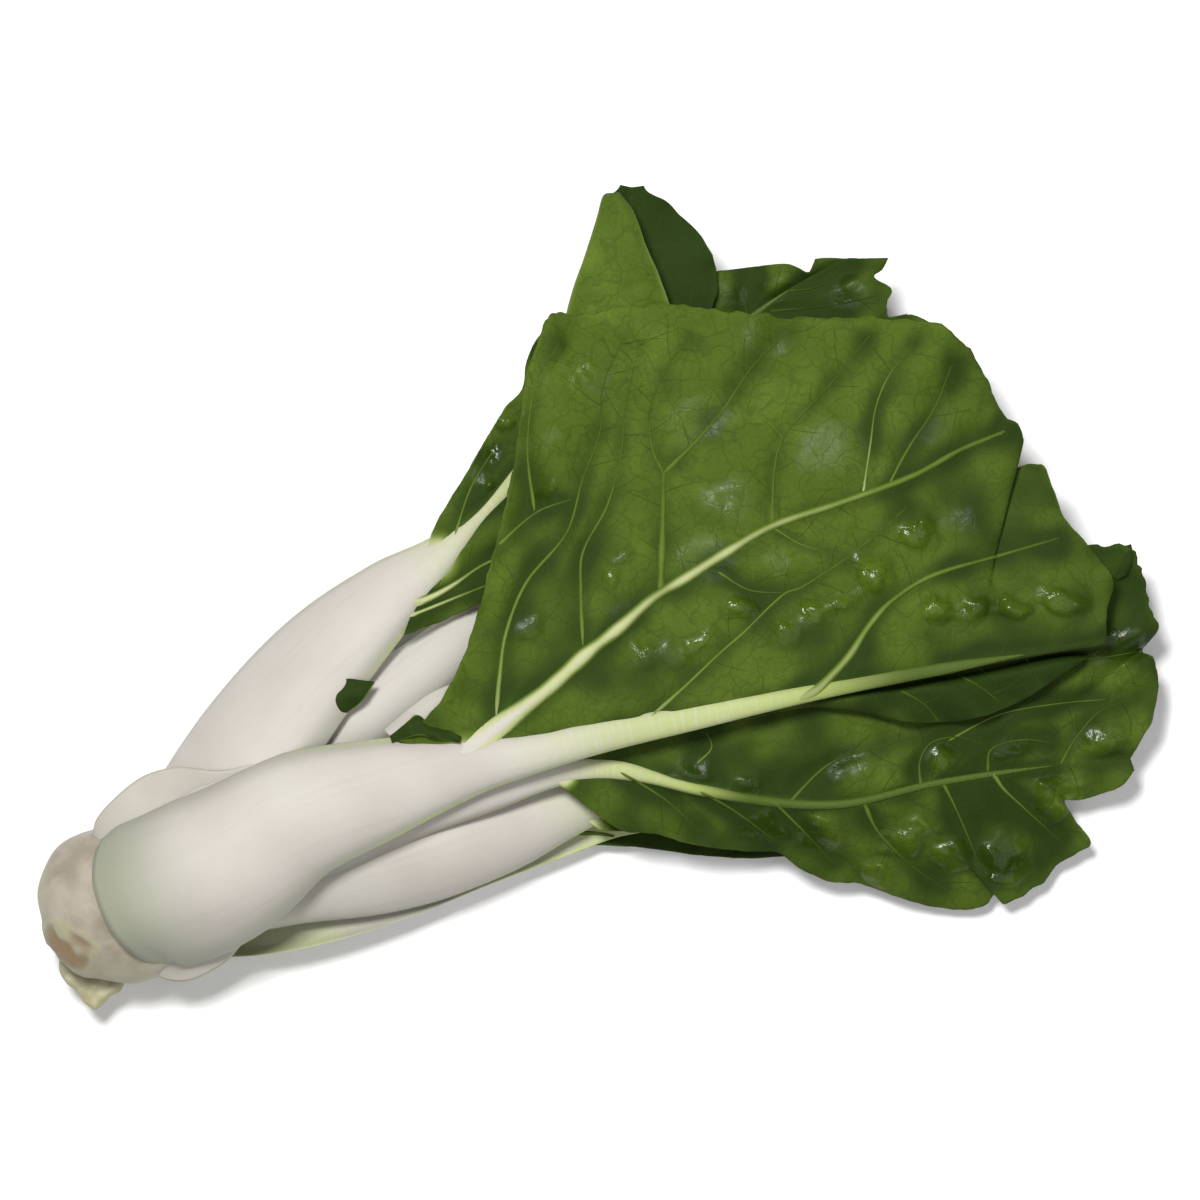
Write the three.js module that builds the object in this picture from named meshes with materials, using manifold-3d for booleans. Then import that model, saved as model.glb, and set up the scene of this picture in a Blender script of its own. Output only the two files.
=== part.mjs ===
// A whole bok choy head, lying on its side as it was picked.
// Millimetres, +Z up, resting on the plane z = 0.
// Each leaf is two solids: a thick white stalk that thins out into the midrib, and a thin green blade.
import * as THREE from "three";
import { mergeVertices } from "three/addons/utils/BufferGeometryUtils.js";
import Module from "manifold-3d";

// The leaves are laid out as they are seen from above, with the head pointing up to the right.
// The whole head is then turned, so that its length runs along +X, and centred on its box.
const LAY_ANGLE = 24;
const CENTRE_X = 180.5;
const CENTRE_Y = 67;

const GAP = 0.32;
const BLADE_THICKNESS = 0.9;
const STALK_EDGE = 1.4;
const STALK_EDGE_SHARE = 0.5;
const STALK_STEPS = 15;
const STALK_ACROSS = 6;
const RIB_SIDES = 4;
const RIB_STEPS = 5;
const RIB_TAPER = 0.6;
const HEEL_SIDES = 24;
const HEEL_TILT = 10;

// Blisters of a blade: how fast they follow each other along x and y, and where the first one lies.
const BLISTER_RATE_X = 0.24;
const BLISTER_RATE_Y = 0.21;
const BLISTER_SHIFT = 1;

// Small steps and limits of the geometry.
const MERGE_DISTANCE = 1e-4;
const FRAME_STEP = 0.01;
const SHARPEST_CORNER = 0.1;
const LONGEST_REACH = 2;
const FOOT_STEPS = 60;
const HIGHER_WINS = 0.01;
const ON_AXIS = 0.01;
const ROOM_SIZE = 800;

const STALK_COLOUR = "#dedbc9";
const BLADE_COLOUR = "#4a6a22";
const HEEL_COLOUR = "#bfb3a0";
const STALK_ROUGHNESS = 0.35;
const BLADE_ROUGHNESS = 0.4;
const HEEL_ROUGHNESS = 0.6;

// Heel: distance along its axis, then radius.
const HEEL_START = [9.3, 70, 19.4];
const HEEL_PROFILE = [
  [0, 0], [0.4, 6], [1.5, 9.5], [3.2, 12.5], [6, 15.5], [10, 17.8], [16, 19.5],
  [24, 19.8], [34, 17], [44, 11], [52, 5], [55, 0],
];
const HEEL_LUMPS = 0.5;
const HEEL_LUMP_COUNT = 3;
const HEEL_LUMP_TWIST = 0.2;

// Ragged base of a leaf that was pulled off, left on the cut end of the heel: its outline from above.
const FLAP_OUTLINE = [
  [13, 60], [13.2, 56], [15, 53], [17.5, 51], [19.2, 48.4], [22.3, 46.3],
  [24.8, 48.2], [26, 49.6], [28.6, 51], [30, 56], [24, 62],
];
const FLAP_BOTTOM = 12;
const FLAP_THICKNESS = 4;

// Stalk rows: x, y, z of the crest, then width, arch, thickness and roll.
// The roll is the lean of the outer side from straight up, in degrees, to the left when positive.
// "from" is the row where the blade starts. "tip" is the end of the blade.
// Margin rows are x, y, z from the base of the blade to its tip.
// Rib rows are x, y on the blade. Wave: height, count and phase of the ruffles along the margin.
const LEAVES = {
  top: {
    stalk: [
      [27, 71.5, 43, 36, 17, 4, 0], [34.3, 75, 46, 41, 19, 5, 0], [55, 83.8, 48.5, 40, 14, 7, 0],
      [74, 95.8, 48.5, 33, 9, 8, 0], [94.5, 102.8, 46.5, 26, 6, 8, 0], [115.8, 108.8, 44, 17, 4, 7, 0],
      [129.5, 111.3, 43, 11.5, 3, 6, 0], [150, 116.3, 42, 9, 2, 5, 0], [175, 121.3, 40.5, 7, 1.5, 4, 0],
      [207.5, 128, 39, 5, 1, 3.2, 0], [240, 133.8, 36.5, 3.6, 0.5, 2.6, 0], [264, 137.8, 34, 2.4, 0.3, 2, 0],
    ],
    from: 5,
    tip: [276.5, 140, 32],
    left: [
      [98.8, 115.5, 41.5], [107, 121, 42.5], [113, 129, 42], [118, 141, 42], [121.5, 153, 41.5],
      [125, 168, 41], [128.5, 183, 40], [131.5, 203, 39.5], [136.5, 219, 38.5], [143, 221, 38.5],
      [165, 223.5, 38], [184, 221.5, 38], [203, 220, 38], [221, 220, 37], [236, 217.5, 35.5],
      [245, 208, 34], [249.5, 198, 33], [255.5, 190, 32], [250.5, 182, 31.5], [260, 184, 32],
      [265.5, 171, 32], [277.5, 156, 31.5], [276, 148, 31.5],
    ],
    right: [
      [133, 108.5, 37], [150, 112.8, 37], [172, 117.8, 35], [190, 121, 33], [207, 123.5, 31.5],
      [225, 119.8, 30.5], [240, 119.8, 30], [254, 124, 29.5], [268, 133, 30], [275, 137.5, 31],
    ],
    ribs: [
      { width: 3.2, path: [[122, 112], [140, 127.5], [160, 147.5], [195, 167.5], [232, 182.5], [249, 189]] },
      { width: 1.8, path: [[208, 130], [217, 142], [227, 153], [243, 161], [262, 165]] },
      { width: 1.5, path: [[165, 153], [165.5, 183], [161, 200], [165, 216]] },
      { width: 1.4, path: [[191, 166], [194, 190], [203, 205], [212, 214]] },
    ],
    wave: [1.6, 7, 0.4],
    blisters: 1.1,
    along: 34,
    across: 6,
  },
  left: {
    stalk: [
      [31, 86, 32, 30, 12, 4, 45], [39, 93, 34, 36, 13, 5, 38], [53.8, 110, 36.5, 36, 11, 7, 30],
      [66.5, 125, 37, 33, 9, 8, 27], [80.5, 139.5, 36, 28, 7, 8, 24], [96, 152.5, 34, 20, 5, 7, 20],
      [108, 160.5, 32.5, 12, 3, 5, 12], [118.8, 170, 31, 5.5, 1.5, 3.6, 8], [128, 180, 30, 4.6, 1, 3.2, 4],
      [140, 196, 29, 4, 0.8, 2.8, 0], [149, 215, 29, 3.2, 0.5, 2.4, 0], [154, 233, 30, 2.4, 0.3, 2, 0],
    ],
    from: 6,
    tip: [158, 253, 32],
    left: [
      [105.5, 162, 31], [109, 169, 31], [113, 176, 30], [118, 184, 29], [121.5, 190.5, 28.5],
      [126, 197.5, 28], [130.5, 203, 28.5], [132, 211, 30], [137, 218, 32], [144, 223, 34],
      [147, 235, 36], [150, 248, 35], [152, 254, 34],
    ],
    right: [
      [101, 141, 33], [113, 146, 32], [125, 152, 30.5], [139, 161, 28.5], [154, 178, 27], [166, 198, 27],
      [175, 215, 28], [179.5, 230, 29], [176, 240, 28], [169, 247.5, 28], [164, 254, 29],
    ],
    ribs: [
      { width: 1.7, path: [[109, 155], [124, 158.5], [140, 166]] },
      { width: 1.4, path: [[124, 175], [138, 178], [152, 186]] },
      { width: 1.2, path: [[146, 207], [156, 214], [168, 226]] },
    ],
    wave: [1.2, 5, 1.2],
    blisters: 0.8,
    along: 20,
    across: 5,
  },
  lower: {
    stalk: [
      [37, 66, 30, 28, 11, 4, -48], [52, 70, 31, 30, 11, 6, -40], [72, 75.5, 30, 30, 9, 7.5, -32],
      [98, 80.5, 28.5, 29, 8, 8, -26], [122, 88, 26, 24, 7, 8, -20], [143, 97, 22, 16, 5, 6, -12],
      [158, 101, 17, 9, 2, 4.5, -6], [180, 102, 13, 6, 1, 3.5, 0], [205, 101, 11, 4, 0.6, 3, 0],
      [225, 100, 10.5, 3, 0.3, 2.5, 0],
    ],
    from: 5,
    tip: [245, 99, 9.5],
    left: [
      [146, 106, 18], [164, 116, 15], [186, 124, 13], [210, 125, 12], [230, 117, 11], [243, 105, 10],
    ],
    right: [
      [150, 92, 17], [164, 91, 13], [184, 88, 10], [206, 86, 9], [228, 88, 9], [242, 94, 9.5],
    ],
    ribs: [
      { width: 1.4, path: [[178, 102], [192, 110], [206, 119]] },
    ],
    wave: [0.8, 3, 0.5],
    blisters: 0.5,
    along: 14,
    across: 4,
  },
  inner: {
    stalk: [
      [44, 93, 28, 18, 5, 4, 14], [62, 103, 30.5, 20, 5, 6, 12], [82, 117, 31.5, 19, 5, 7, 10],
      [100, 129, 31, 17, 4, 6.5, 8], [117, 143, 28, 13, 3, 5.5, 6], [134, 160, 23.5, 8, 2, 4.5, 4],
      [152, 182, 21.5, 5.5, 1, 3.6, 2], [170, 202, 22.5, 4.4, 0.8, 3.2, 0], [187, 220, 25, 3.2, 0.5, 2.6, 0],
      [202, 231, 27, 2.4, 0.3, 2, 0],
    ],
    from: 5,
    tip: [212, 235.5, 28],
    left: [
      [131, 163, 22], [135, 175, 21], [142, 188, 21], [152, 202, 21], [163, 216, 22],
      [172, 227, 24], [178, 232, 25], [188, 233.5, 26.5], [197, 234, 27.5], [202, 232, 28],
      [204, 235.5, 28],
    ],
    right: [
      [141, 158, 21.5], [158, 162, 21], [178, 169, 21], [198, 180, 21.5], [216, 193, 22.5],
      [231, 205, 24], [237, 214, 25.5], [232, 220.5, 26.5], [223, 223, 27.5], [222, 229, 28],
      [220.5, 235.5, 28],
    ],
    ribs: [
      { width: 1.5, path: [[156, 186], [160, 200], [170, 217]] },
      { width: 1.5, path: [[172, 204], [190, 206], [214, 214]] },
    ],
    wave: [0.9, 4, 0.2],
    blisters: 0.7,
    along: 20,
    across: 5,
  },
  right: {
    stalk: [
      [58, 80, 33, 16, 4, 4, 0], [80, 89, 35, 18, 4, 6, 0], [103, 97.5, 35.5, 15, 3.5, 6, -4],
      [122.5, 102.5, 34.5, 12, 3, 5.5, -8], [140, 107, 32.5, 8, 2, 4.6, -8], [155, 107.3, 30.5, 6.5, 1.5, 4.2, -5],
      [175, 102.5, 28, 5.5, 1.2, 3.8, 0], [197.5, 99, 25.5, 4.8, 1, 3.4, 0], [212.5, 99, 24, 4.2, 0.8, 3, 0],
      [232.5, 103.5, 21.5, 3.6, 0.5, 2.6, 0], [250, 106.3, 19.5, 3, 0.4, 2.4, 0], [271, 109, 17.5, 2.4, 0.3, 2, 0],
    ],
    from: 4,
    tip: [284, 110, 16],
    left: [
      [139, 112, 30], [152, 122, 28.5], [172, 134, 27.5], [196, 144, 27], [220, 151, 26],
      [244, 157, 25], [264, 162, 24], [281, 163.5, 24], [286.5, 158, 23], [288.5, 149, 21.5],
      [287, 140, 20], [290.5, 128, 18.5], [289, 119, 17],
    ],
    right: [
      [139, 102.8, 30], [154, 93, 27], [163.5, 91.5, 25], [172.5, 88.8, 22], [185, 86.8, 19],
      [195, 86.2, 17], [201, 82, 15], [208, 78.8, 13], [217, 77.8, 11], [225, 75, 9.5],
      [235, 72, 8], [246, 71.5, 7], [251, 75.5, 8], [253, 73, 7.5], [262, 78, 8],
      [268, 84, 9], [274.5, 88, 9], [270.5, 94, 10.5], [267.5, 99, 12], [272, 99.5, 12.5],
      [281, 102.5, 14], [285, 107, 15.5],
    ],
    ribs: [
      { width: 1.7, path: [[206, 99], [214, 90], [224, 82]] },
      { width: 1.6, path: [[232, 103], [242, 97], [250, 90]] },
      { width: 1.5, path: [[248, 105], [258, 98], [268, 89]] },
      { width: 1.6, path: [[226, 102], [240, 120], [262, 138]] },
    ],
    wave: [1.3, 6, 2.0],
    blisters: 1.0,
    along: 34,
    across: 6,
  },
  outer: {
    stalk: [
      [42, 66, 5, 24, 9, 4, -150], [56, 68, 3, 29, 9, 5, -152], [74, 71.5, 2.2, 30, 8, 6, -154],
      [95, 77, 2, 27, 7, 6.5, -156], [118, 84, 2.5, 21, 6, 6, -158], [140, 90, 4, 14, 4, 5, -162],
      [156, 93, 5, 7, 1.5, 3.6, -172], [176, 94, 5, 4.6, 0.8, 3, -180], [198, 94, 5, 3.2, 0.4, 2.4, -180],
    ],
    from: 5,
    tip: [218, 93.5, 6.5],
    left: [[144, 97, 8], [160, 104, 7.5], [178, 108, 7], [198, 106, 6.5], [214, 98, 6.5]],
    right: [[146, 88, 8], [160, 87, 6], [180, 84.5, 5], [200, 85, 5], [215, 89.5, 6]],
    ribs: [],
    wave: [0.4, 3, 0.2],
    blisters: 0.3,
    along: 12,
    across: 4,
  },
  under: {
    stalk: [
      [40, 83, 2, 30, 9, 5, 176], [58, 94, -0.8, 34, 9, 7, 178], [78, 106, -1, 32, 8, 8, 180],
      [100, 120, -1, 26, 6, 8, 180], [122, 136, -0.8, 18, 4, 7, 180], [142, 150, -0.2, 10, 2.5, 5, 180],
      [162, 163, 0.4, 6, 1.2, 4, 180], [186, 172, 1, 4.6, 0.8, 3.2, 180], [212, 178, 1.2, 3.2, 0.4, 2.4, 180],
    ],
    from: 5,
    tip: [246, 184, 2.5],
    left: [
      [139, 156, 4.5], [148, 174, 4], [164, 190, 2.5], [186, 200, 1.2], [210, 202, 0.8],
      [232, 197, 1.2], [244, 189, 2],
    ],
    right: [
      [148, 146, 4.5], [166, 136, 3], [190, 126, 1], [216, 126, 0], [238, 140, 0],
      [250, 160, 0.8], [250, 178, 2],
    ],
    ribs: [
      { width: 1.3, path: [[166, 164], [172, 176], [184, 190]] },
      { width: 1.3, path: [[180, 169], [198, 156], [220, 146]] },
    ],
    wave: [0.6, 4, 1.0],
    blisters: 0.4,
    along: 16,
    across: 5,
  },
};

// The order in which neighbours make room: each one is cut clear of those before it.
const STALK_ORDER = ["top", "left", "lower", "inner", "right", "under", "outer"];
const BLADE_ORDER = ["top", "left", "right", "inner", "lower", "under", "outer"];

const wasm = await Module();
wasm.setup();

const mix = (a, b, t) => a.map((value, i) => value + (b[i] - value) * t);
const radians = (degrees) => (degrees * Math.PI) / 180;
const vector = (row) => new THREE.Vector3(row[0], row[1], row[2]);
const UP = new THREE.Vector3(0, 0, 1);

// Smooth curve through rows of numbers. It runs from 0 to 1, evenly by length, or evenly by row.
function curveThrough(rows, evenByRow = false) {
  const stops = [0];
  for (let i = 1; i < rows.length; i += 1) {
    const step = vector(rows[i]).distanceTo(vector(rows[i - 1]));
    stops.push(stops[i - 1] + (evenByRow ? 1 : step));
  }
  const slope = (i) => {
    const before = Math.max(i - 1, 0);
    const after = Math.min(i + 1, rows.length - 1);
    return rows[i].map((_, k) => (rows[after][k] - rows[before][k]) / (stops[after] - stops[before]));
  };
  return (u) => {
    const at = THREE.MathUtils.clamp(u, 0, 1) * stops.at(-1);
    let i = 0;
    while (i < rows.length - 2 && at > stops[i + 1]) i += 1;
    const span = stops[i + 1] - stops[i];
    const t = (at - stops[i]) / span;
    const startSlope = slope(i);
    const endSlope = slope(i + 1);
    return rows[i].map((start, k) => {
      const end = rows[i + 1][k];
      return (2 * t ** 3 - 3 * t ** 2 + 1) * start + (t ** 3 - 2 * t ** 2 + t) * span * startSlope[k]
        + (3 * t ** 2 - 2 * t ** 3) * end + (t ** 3 - t ** 2) * span * endSlope[k];
    });
  };
}

// Closed solid from points and triangles, turned outward if it came out inside out.
function solidFrom(points, triangles) {
  const geometry = new THREE.BufferGeometry();
  geometry.setAttribute("position", new THREE.Float32BufferAttribute(points.flatMap((p) => [p.x, p.y, p.z]), 3));
  geometry.setIndex(triangles.flat());
  return solidFromGeometry(geometry);
}

function solidFromGeometry(source) {
  const plain = source.clone();
  plain.deleteAttribute("normal");
  plain.deleteAttribute("uv");
  const merged = mergeVertices(plain, MERGE_DISTANCE);
  const place = merged.getAttribute("position").array;
  const index = Array.from(merged.index.array);
  const corners = [new THREE.Vector3(), new THREE.Vector3(), new THREE.Vector3()];
  let volume = 0;
  for (let i = 0; i < index.length; i += 3) {
    corners.forEach((corner, k) => corner.fromArray(place, index[i + k] * 3));
    volume += corners[0].dot(corners[1].clone().cross(corners[2]));
  }
  if (volume < 0) index.reverse();
  return new wasm.Manifold(new wasm.Mesh({
    numProp: 3,
    vertProperties: new Float32Array(place),
    triVerts: new Uint32Array(index),
  }));
}

function geometryFrom(solid) {
  const mesh = solid.getMesh();
  const geometry = new THREE.BufferGeometry();
  geometry.setAttribute("position", new THREE.BufferAttribute(new Float32Array(mesh.vertProperties), 3));
  geometry.setIndex(Array.from(mesh.triVerts));
  geometry.computeVertexNormals();
  return geometry;
}

// Solid skin round a row of rings that all have the same number of points.
function solidFromRings(rings) {
  const sides = rings[0].length;
  const points = rings.flat();
  const triangles = [];
  for (let i = 0; i + 1 < rings.length; i += 1) {
    for (let k = 0; k < sides; k += 1) {
      const a = i * sides + k;
      const b = i * sides + ((k + 1) % sides);
      triangles.push([a, b, b + sides], [a, b + sides, a + sides]);
    }
  }
  for (const [ring, flip] of [[0, true], [rings.length - 1, false]]) {
    const middle = points.length;
    const start = ring * sides;
    points.push(rings[ring].reduce((sum, p) => sum.add(p), new THREE.Vector3()).divideScalar(sides));
    for (let k = 0; k < sides; k += 1) {
      const a = start + k;
      const b = start + ((k + 1) % sides);
      triangles.push(flip ? [middle, b, a] : [middle, a, b]);
    }
  }
  return solidFrom(points, triangles);
}

// Direction frame on a curve: tangent, side to the left, and outer side leaning by the roll.
function frameOn(curve, u, roll) {
  const tangent = vector(curve(u + FRAME_STEP)).sub(vector(curve(u - FRAME_STEP))).normalize();
  const left = UP.clone().cross(tangent).normalize();
  const above = tangent.clone().cross(left);
  const outer = above.clone().multiplyScalar(Math.cos(roll)).addScaledVector(left, Math.sin(roll));
  const side = left.clone().multiplyScalar(Math.cos(roll)).addScaledVector(above, -Math.sin(roll));
  return { tangent, side, outer };
}

// Outline in a plane, pushed outward by the same distance all round.
function outset(outline, distance) {
  const count = outline.length;
  const normalOf = (a, b) => new THREE.Vector2(b.y - a.y, a.x - b.x).normalize();
  const area = outline.reduce((sum, p, i) => sum + p.cross(outline[(i + 1) % count]), 0);
  return outline.map((point, i) => {
    const before = normalOf(outline[(i + count - 1) % count], point);
    const after = normalOf(point, outline[(i + 1) % count]);
    const middle = before.clone().add(after).normalize();
    const reach = Math.min(1 / Math.max(middle.dot(after), SHARPEST_CORNER), LONGEST_REACH);
    return point.clone().addScaledVector(middle, Math.sign(area) * distance * reach);
  });
}

// Stalk: a crescent that clasps the head at its base and thins out into the midrib.
function stalkSolid(leaf, grow = 0) {
  const crest = curveThrough(leaf.stalk);
  const across = Array.from({ length: STALK_ACROSS + 1 }, (_, k) => (2 * k) / STALK_ACROSS - 1);
  const rings = [];
  for (let i = 0; i <= STALK_STEPS; i += 1) {
    const u = i / STALK_STEPS;
    const [x, y, z, width, arch, thickness, roll] = crest(u);
    const { tangent, side, outer } = frameOn(crest, u, radians(roll));
    const end = i === 0 ? -grow : i === STALK_STEPS ? grow : 0;
    const top = new THREE.Vector3(x, y, z).addScaledVector(tangent, end);
    const edge = Math.min(STALK_EDGE, thickness * STALK_EDGE_SHARE);
    const depth = (s) => edge + (thickness - edge) * (1 - s * s);
    const section = [
      ...across.map((s) => new THREE.Vector2((s * width) / 2, -arch * s * s)),
      ...across.toReversed().map((s) => new THREE.Vector2((s * width) / 2, -arch * s * s - depth(s))),
    ];
    rings.push(outset(section, grow).map(
      (point) => top.clone().addScaledVector(side, point.x).addScaledVector(outer, point.y),
    ));
  }
  return solidFromRings(rings);
}

// Blade surface: u runs from base to tip, s from the left margin (-1) over the midrib to the right (1).
function bladeSurface(leaf) {
  const rib = leaf.stalk.slice(leaf.from).map(([x, y, z, , , thickness]) => [x, y, z - thickness / 2]);
  const middle = curveThrough([...rib, leaf.tip]);
  const left = curveThrough(leaf.left, true);
  const right = curveThrough(leaf.right, true);
  const [waveHeight, waveCount, wavePhase] = leaf.wave;
  return (u, s, reach = 0) => {
    const from = middle(u);
    const to = s < 0 ? left(u) : right(u);
    const length = Math.hypot(to[0] - from[0], to[1] - from[1]);
    const t = Math.abs(s) * (1 + reach / Math.max(length, 1));
    const [x, y, z] = mix(from, to, t);
    const wave = waveHeight * t * t * Math.sin(2 * Math.PI * waveCount * u + wavePhase + s);
    const swell = Math.sin(x * BLISTER_RATE_X + BLISTER_SHIFT) * Math.sin(y * BLISTER_RATE_Y);
    const blister = leaf.blisters * swell * Math.sin(Math.PI * Math.min(t, 1));
    return new THREE.Vector3(x, y, z + wave + blister);
  };
}

// Blade: a thin sheet, split into the same triangles on both faces.
function bladeSolid(leaf, grow = 0) {
  const surface = bladeSurface(leaf);
  const { along, across } = leaf;
  const columns = 2 * across + 1;
  const middlePoints = [];
  for (let i = 0; i <= along; i += 1) {
    for (let k = -across; k <= across; k += 1) {
      const reach = Math.abs(k) === across ? grow : 0;
      middlePoints.push(surface(i / along, k / across, reach));
    }
  }
  const faces = [];
  for (let i = 0; i < along; i += 1) {
    for (let k = 0; k + 1 < columns; k += 1) {
      const a = i * columns + k;
      faces.push([a, a + 1, a + 1 + columns], [a, a + 1 + columns, a + columns]);
    }
  }
  const sheet = new THREE.BufferGeometry();
  sheet.setAttribute("position", new THREE.Float32BufferAttribute(middlePoints.flatMap((p) => p.toArray()), 3));
  sheet.setIndex(faces.flat());
  sheet.computeVertexNormals();
  const normals = sheet.getAttribute("normal");
  const half = BLADE_THICKNESS / 2 + grow;
  const offset = (sign) => middlePoints.map((p, i) => {
    const normal = new THREE.Vector3().fromBufferAttribute(normals, i);
    return p.clone().addScaledVector(normal, sign * half);
  });
  const count = middlePoints.length;
  const triangles = faces.flatMap(([a, b, c]) => [[a, b, c], [a + count, c + count, b + count]]);
  const rim = [];
  for (let k = 0; k < columns; k += 1) rim.push(k);
  for (let i = 1; i <= along; i += 1) rim.push(i * columns + columns - 1);
  for (let k = columns - 2; k >= 0; k -= 1) rim.push(along * columns + k);
  for (let i = along - 1; i > 0; i -= 1) rim.push(i * columns);
  rim.forEach((a, i) => {
    const b = rim[(i + 1) % rim.length];
    triangles.push([b, a, a + count], [b, a + count, b + count]);
  });
  return solidFrom([...offset(1), ...offset(-1)], triangles);
}

// Nearest place on the blade to a point seen from above. Of two as near, the higher one wins.
function footOnBlade(leaf, [x, y]) {
  const surface = bladeSurface(leaf);
  let best = null;
  let least = Infinity;
  for (let i = 0; i <= FOOT_STEPS; i += 1) {
    for (let k = -FOOT_STEPS / 2; k <= FOOT_STEPS / 2; k += 1) {
      const point = surface(i / FOOT_STEPS, (2 * k) / FOOT_STEPS);
      const distance = Math.hypot(point.x - x, point.y - y) - point.z * HIGHER_WINS;
      if (distance < least) {
        least = distance;
        best = point;
      }
    }
  }
  return best;
}

// Side rib: a raised cord along the blade, thick at its root and thin at the margin.
function ribSolid(leaf, { width, path }) {
  const feet = path.map((place) => [...place, footOnBlade(leaf, place).z]);
  const line = curveThrough(feet);
  const rings = [];
  for (let i = 0; i <= RIB_STEPS; i += 1) {
    const u = i / RIB_STEPS;
    const radius = (width / 2) * (1 - RIB_TAPER * u);
    const { side, outer } = frameOn(line, u, 0);
    const centre = vector(line(u));
    rings.push(Array.from({ length: RIB_SIDES }, (_, k) => {
      const angle = (2 * Math.PI * k) / RIB_SIDES;
      return centre.clone()
        .addScaledVector(side, radius * Math.cos(angle))
        .addScaledVector(outer, radius * Math.sin(angle));
    }));
  }
  return solidFromRings(rings);
}

// Heel: the short stem that the leaves grow from, with the broken base of a leaf that was pulled off.
function heelSolid(grow = 0) {
  const profile = HEEL_PROFILE.map(([distance, radius], i) => {
    const onAxis = i === 0 || i === HEEL_PROFILE.length - 1;
    const end = i === 0 ? -grow : i === HEEL_PROFILE.length - 1 ? grow : 0;
    return new THREE.Vector2(onAxis ? 0 : radius + grow, distance + end);
  });
  const body = new THREE.LatheGeometry(profile, HEEL_SIDES);
  const place = body.getAttribute("position");
  for (let i = 0; i < place.count; i += 1) {
    const angle = Math.atan2(place.getZ(i), place.getX(i));
    const radius = Math.hypot(place.getX(i), place.getZ(i));
    if (radius > ON_AXIS) {
      const wave = Math.sin(HEEL_LUMP_COUNT * angle + place.getY(i) * HEEL_LUMP_TWIST);
      const lump = 1 + (HEEL_LUMPS * wave) / radius;
      place.setX(i, place.getX(i) * lump);
      place.setZ(i, place.getZ(i) * lump);
    }
  }
  body.rotateZ(radians(HEEL_TILT - 90));
  body.translate(...HEEL_START);
  const outline = new THREE.Shape(FLAP_OUTLINE.map(([x, y]) => new THREE.Vector2(x, y)));
  const flap = new THREE.ExtrudeGeometry(outline, { depth: FLAP_THICKNESS, bevelEnabled: false });
  flap.translate(0, 0, FLAP_BOTTOM);
  return solidFromGeometry(body).add(solidFromGeometry(flap));
}

// Everything above the surface that the head lies on.
function aboveFloor() {
  const box = new THREE.BoxGeometry(ROOM_SIZE, ROOM_SIZE, ROOM_SIZE);
  box.translate(0, 0, ROOM_SIZE / 2);
  return solidFromGeometry(box);
}

const largestPart = (solid) => solid.decompose().sort((a, b) => b.volume() - a.volume())[0];

const boxesMeet = (a, b) => {
  const one = a.boundingBox();
  const two = b.boundingBox();
  return one.min.every((low, k) => low < two.max[k] && two.min[k] < one.max[k]);
};

const head = new THREE.Group();
const floor = aboveFloor();
const taken = [];

function place(name, colour, roughness, solid, grown) {
  let room = solid.intersect(floor);
  for (const neighbour of taken) {
    if (boxesMeet(room, neighbour)) room = room.subtract(neighbour);
  }
  const mesh = new THREE.Mesh(
    geometryFrom(largestPart(room)),
    new THREE.MeshStandardMaterial({ color: colour, roughness, metalness: 0 }),
  );
  mesh.name = name;
  head.add(mesh);
  taken.push(grown);
}

place("heel", HEEL_COLOUR, HEEL_ROUGHNESS, heelSolid(), heelSolid(GAP));
for (const name of STALK_ORDER) {
  const leaf = LEAVES[name];
  place(`${name}_leaf_stalk`, STALK_COLOUR, STALK_ROUGHNESS, stalkSolid(leaf), stalkSolid(leaf, GAP));
}
for (const name of BLADE_ORDER) {
  const leaf = LEAVES[name];
  const ribbed = leaf.ribs.reduce((solid, rib) => solid.add(ribSolid(leaf, rib)), bladeSolid(leaf));
  place(`${name}_leaf_blade`, BLADE_COLOUR, BLADE_ROUGHNESS, ribbed, bladeSolid(leaf, GAP));
}

const model = new THREE.Group();
const turn = radians(LAY_ANGLE);
head.rotation.z = -turn;
head.position.set(-CENTRE_X, -CENTRE_Y, 0);
model.add(head);

export default model;
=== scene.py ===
# A whole bok choy head, lying on its side on a pale surface.
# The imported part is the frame. Each leaf and the heel get a finer piece that keeps the same form.
import math

import bpy
import numpy as np
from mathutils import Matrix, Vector, noise
from mathutils.bvhtree import BVHTree


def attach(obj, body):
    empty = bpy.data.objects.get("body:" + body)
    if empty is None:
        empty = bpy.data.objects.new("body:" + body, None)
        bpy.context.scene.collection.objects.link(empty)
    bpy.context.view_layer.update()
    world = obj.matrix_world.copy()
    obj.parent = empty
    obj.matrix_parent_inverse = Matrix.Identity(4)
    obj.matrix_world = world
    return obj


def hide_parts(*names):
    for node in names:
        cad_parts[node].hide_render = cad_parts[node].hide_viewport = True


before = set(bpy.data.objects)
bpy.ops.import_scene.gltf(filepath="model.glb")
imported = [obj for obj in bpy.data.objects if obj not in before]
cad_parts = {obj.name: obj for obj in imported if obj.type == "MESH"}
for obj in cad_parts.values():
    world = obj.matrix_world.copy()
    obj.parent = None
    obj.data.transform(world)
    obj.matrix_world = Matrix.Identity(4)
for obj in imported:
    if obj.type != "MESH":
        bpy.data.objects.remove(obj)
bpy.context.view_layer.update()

# The leaves are laid out in millimetres as they are seen from above, with x to the right and y up.
# The head is then turned and centred, so that it lies in the part's own frame.
LAY_ANGLE = math.radians(24)
CENTRE_X = 180.5
CENTRE_Y = 67.0
MM = 0.001
PHOTO_MM_PER_PIXEL = 0.25
PHOTO_HEIGHT_MM = 300.0
FLOOR_GAP = 0.02
FLOOR_REACH = 6.0
FAR = 1e9
TINY = 1e-9

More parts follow.
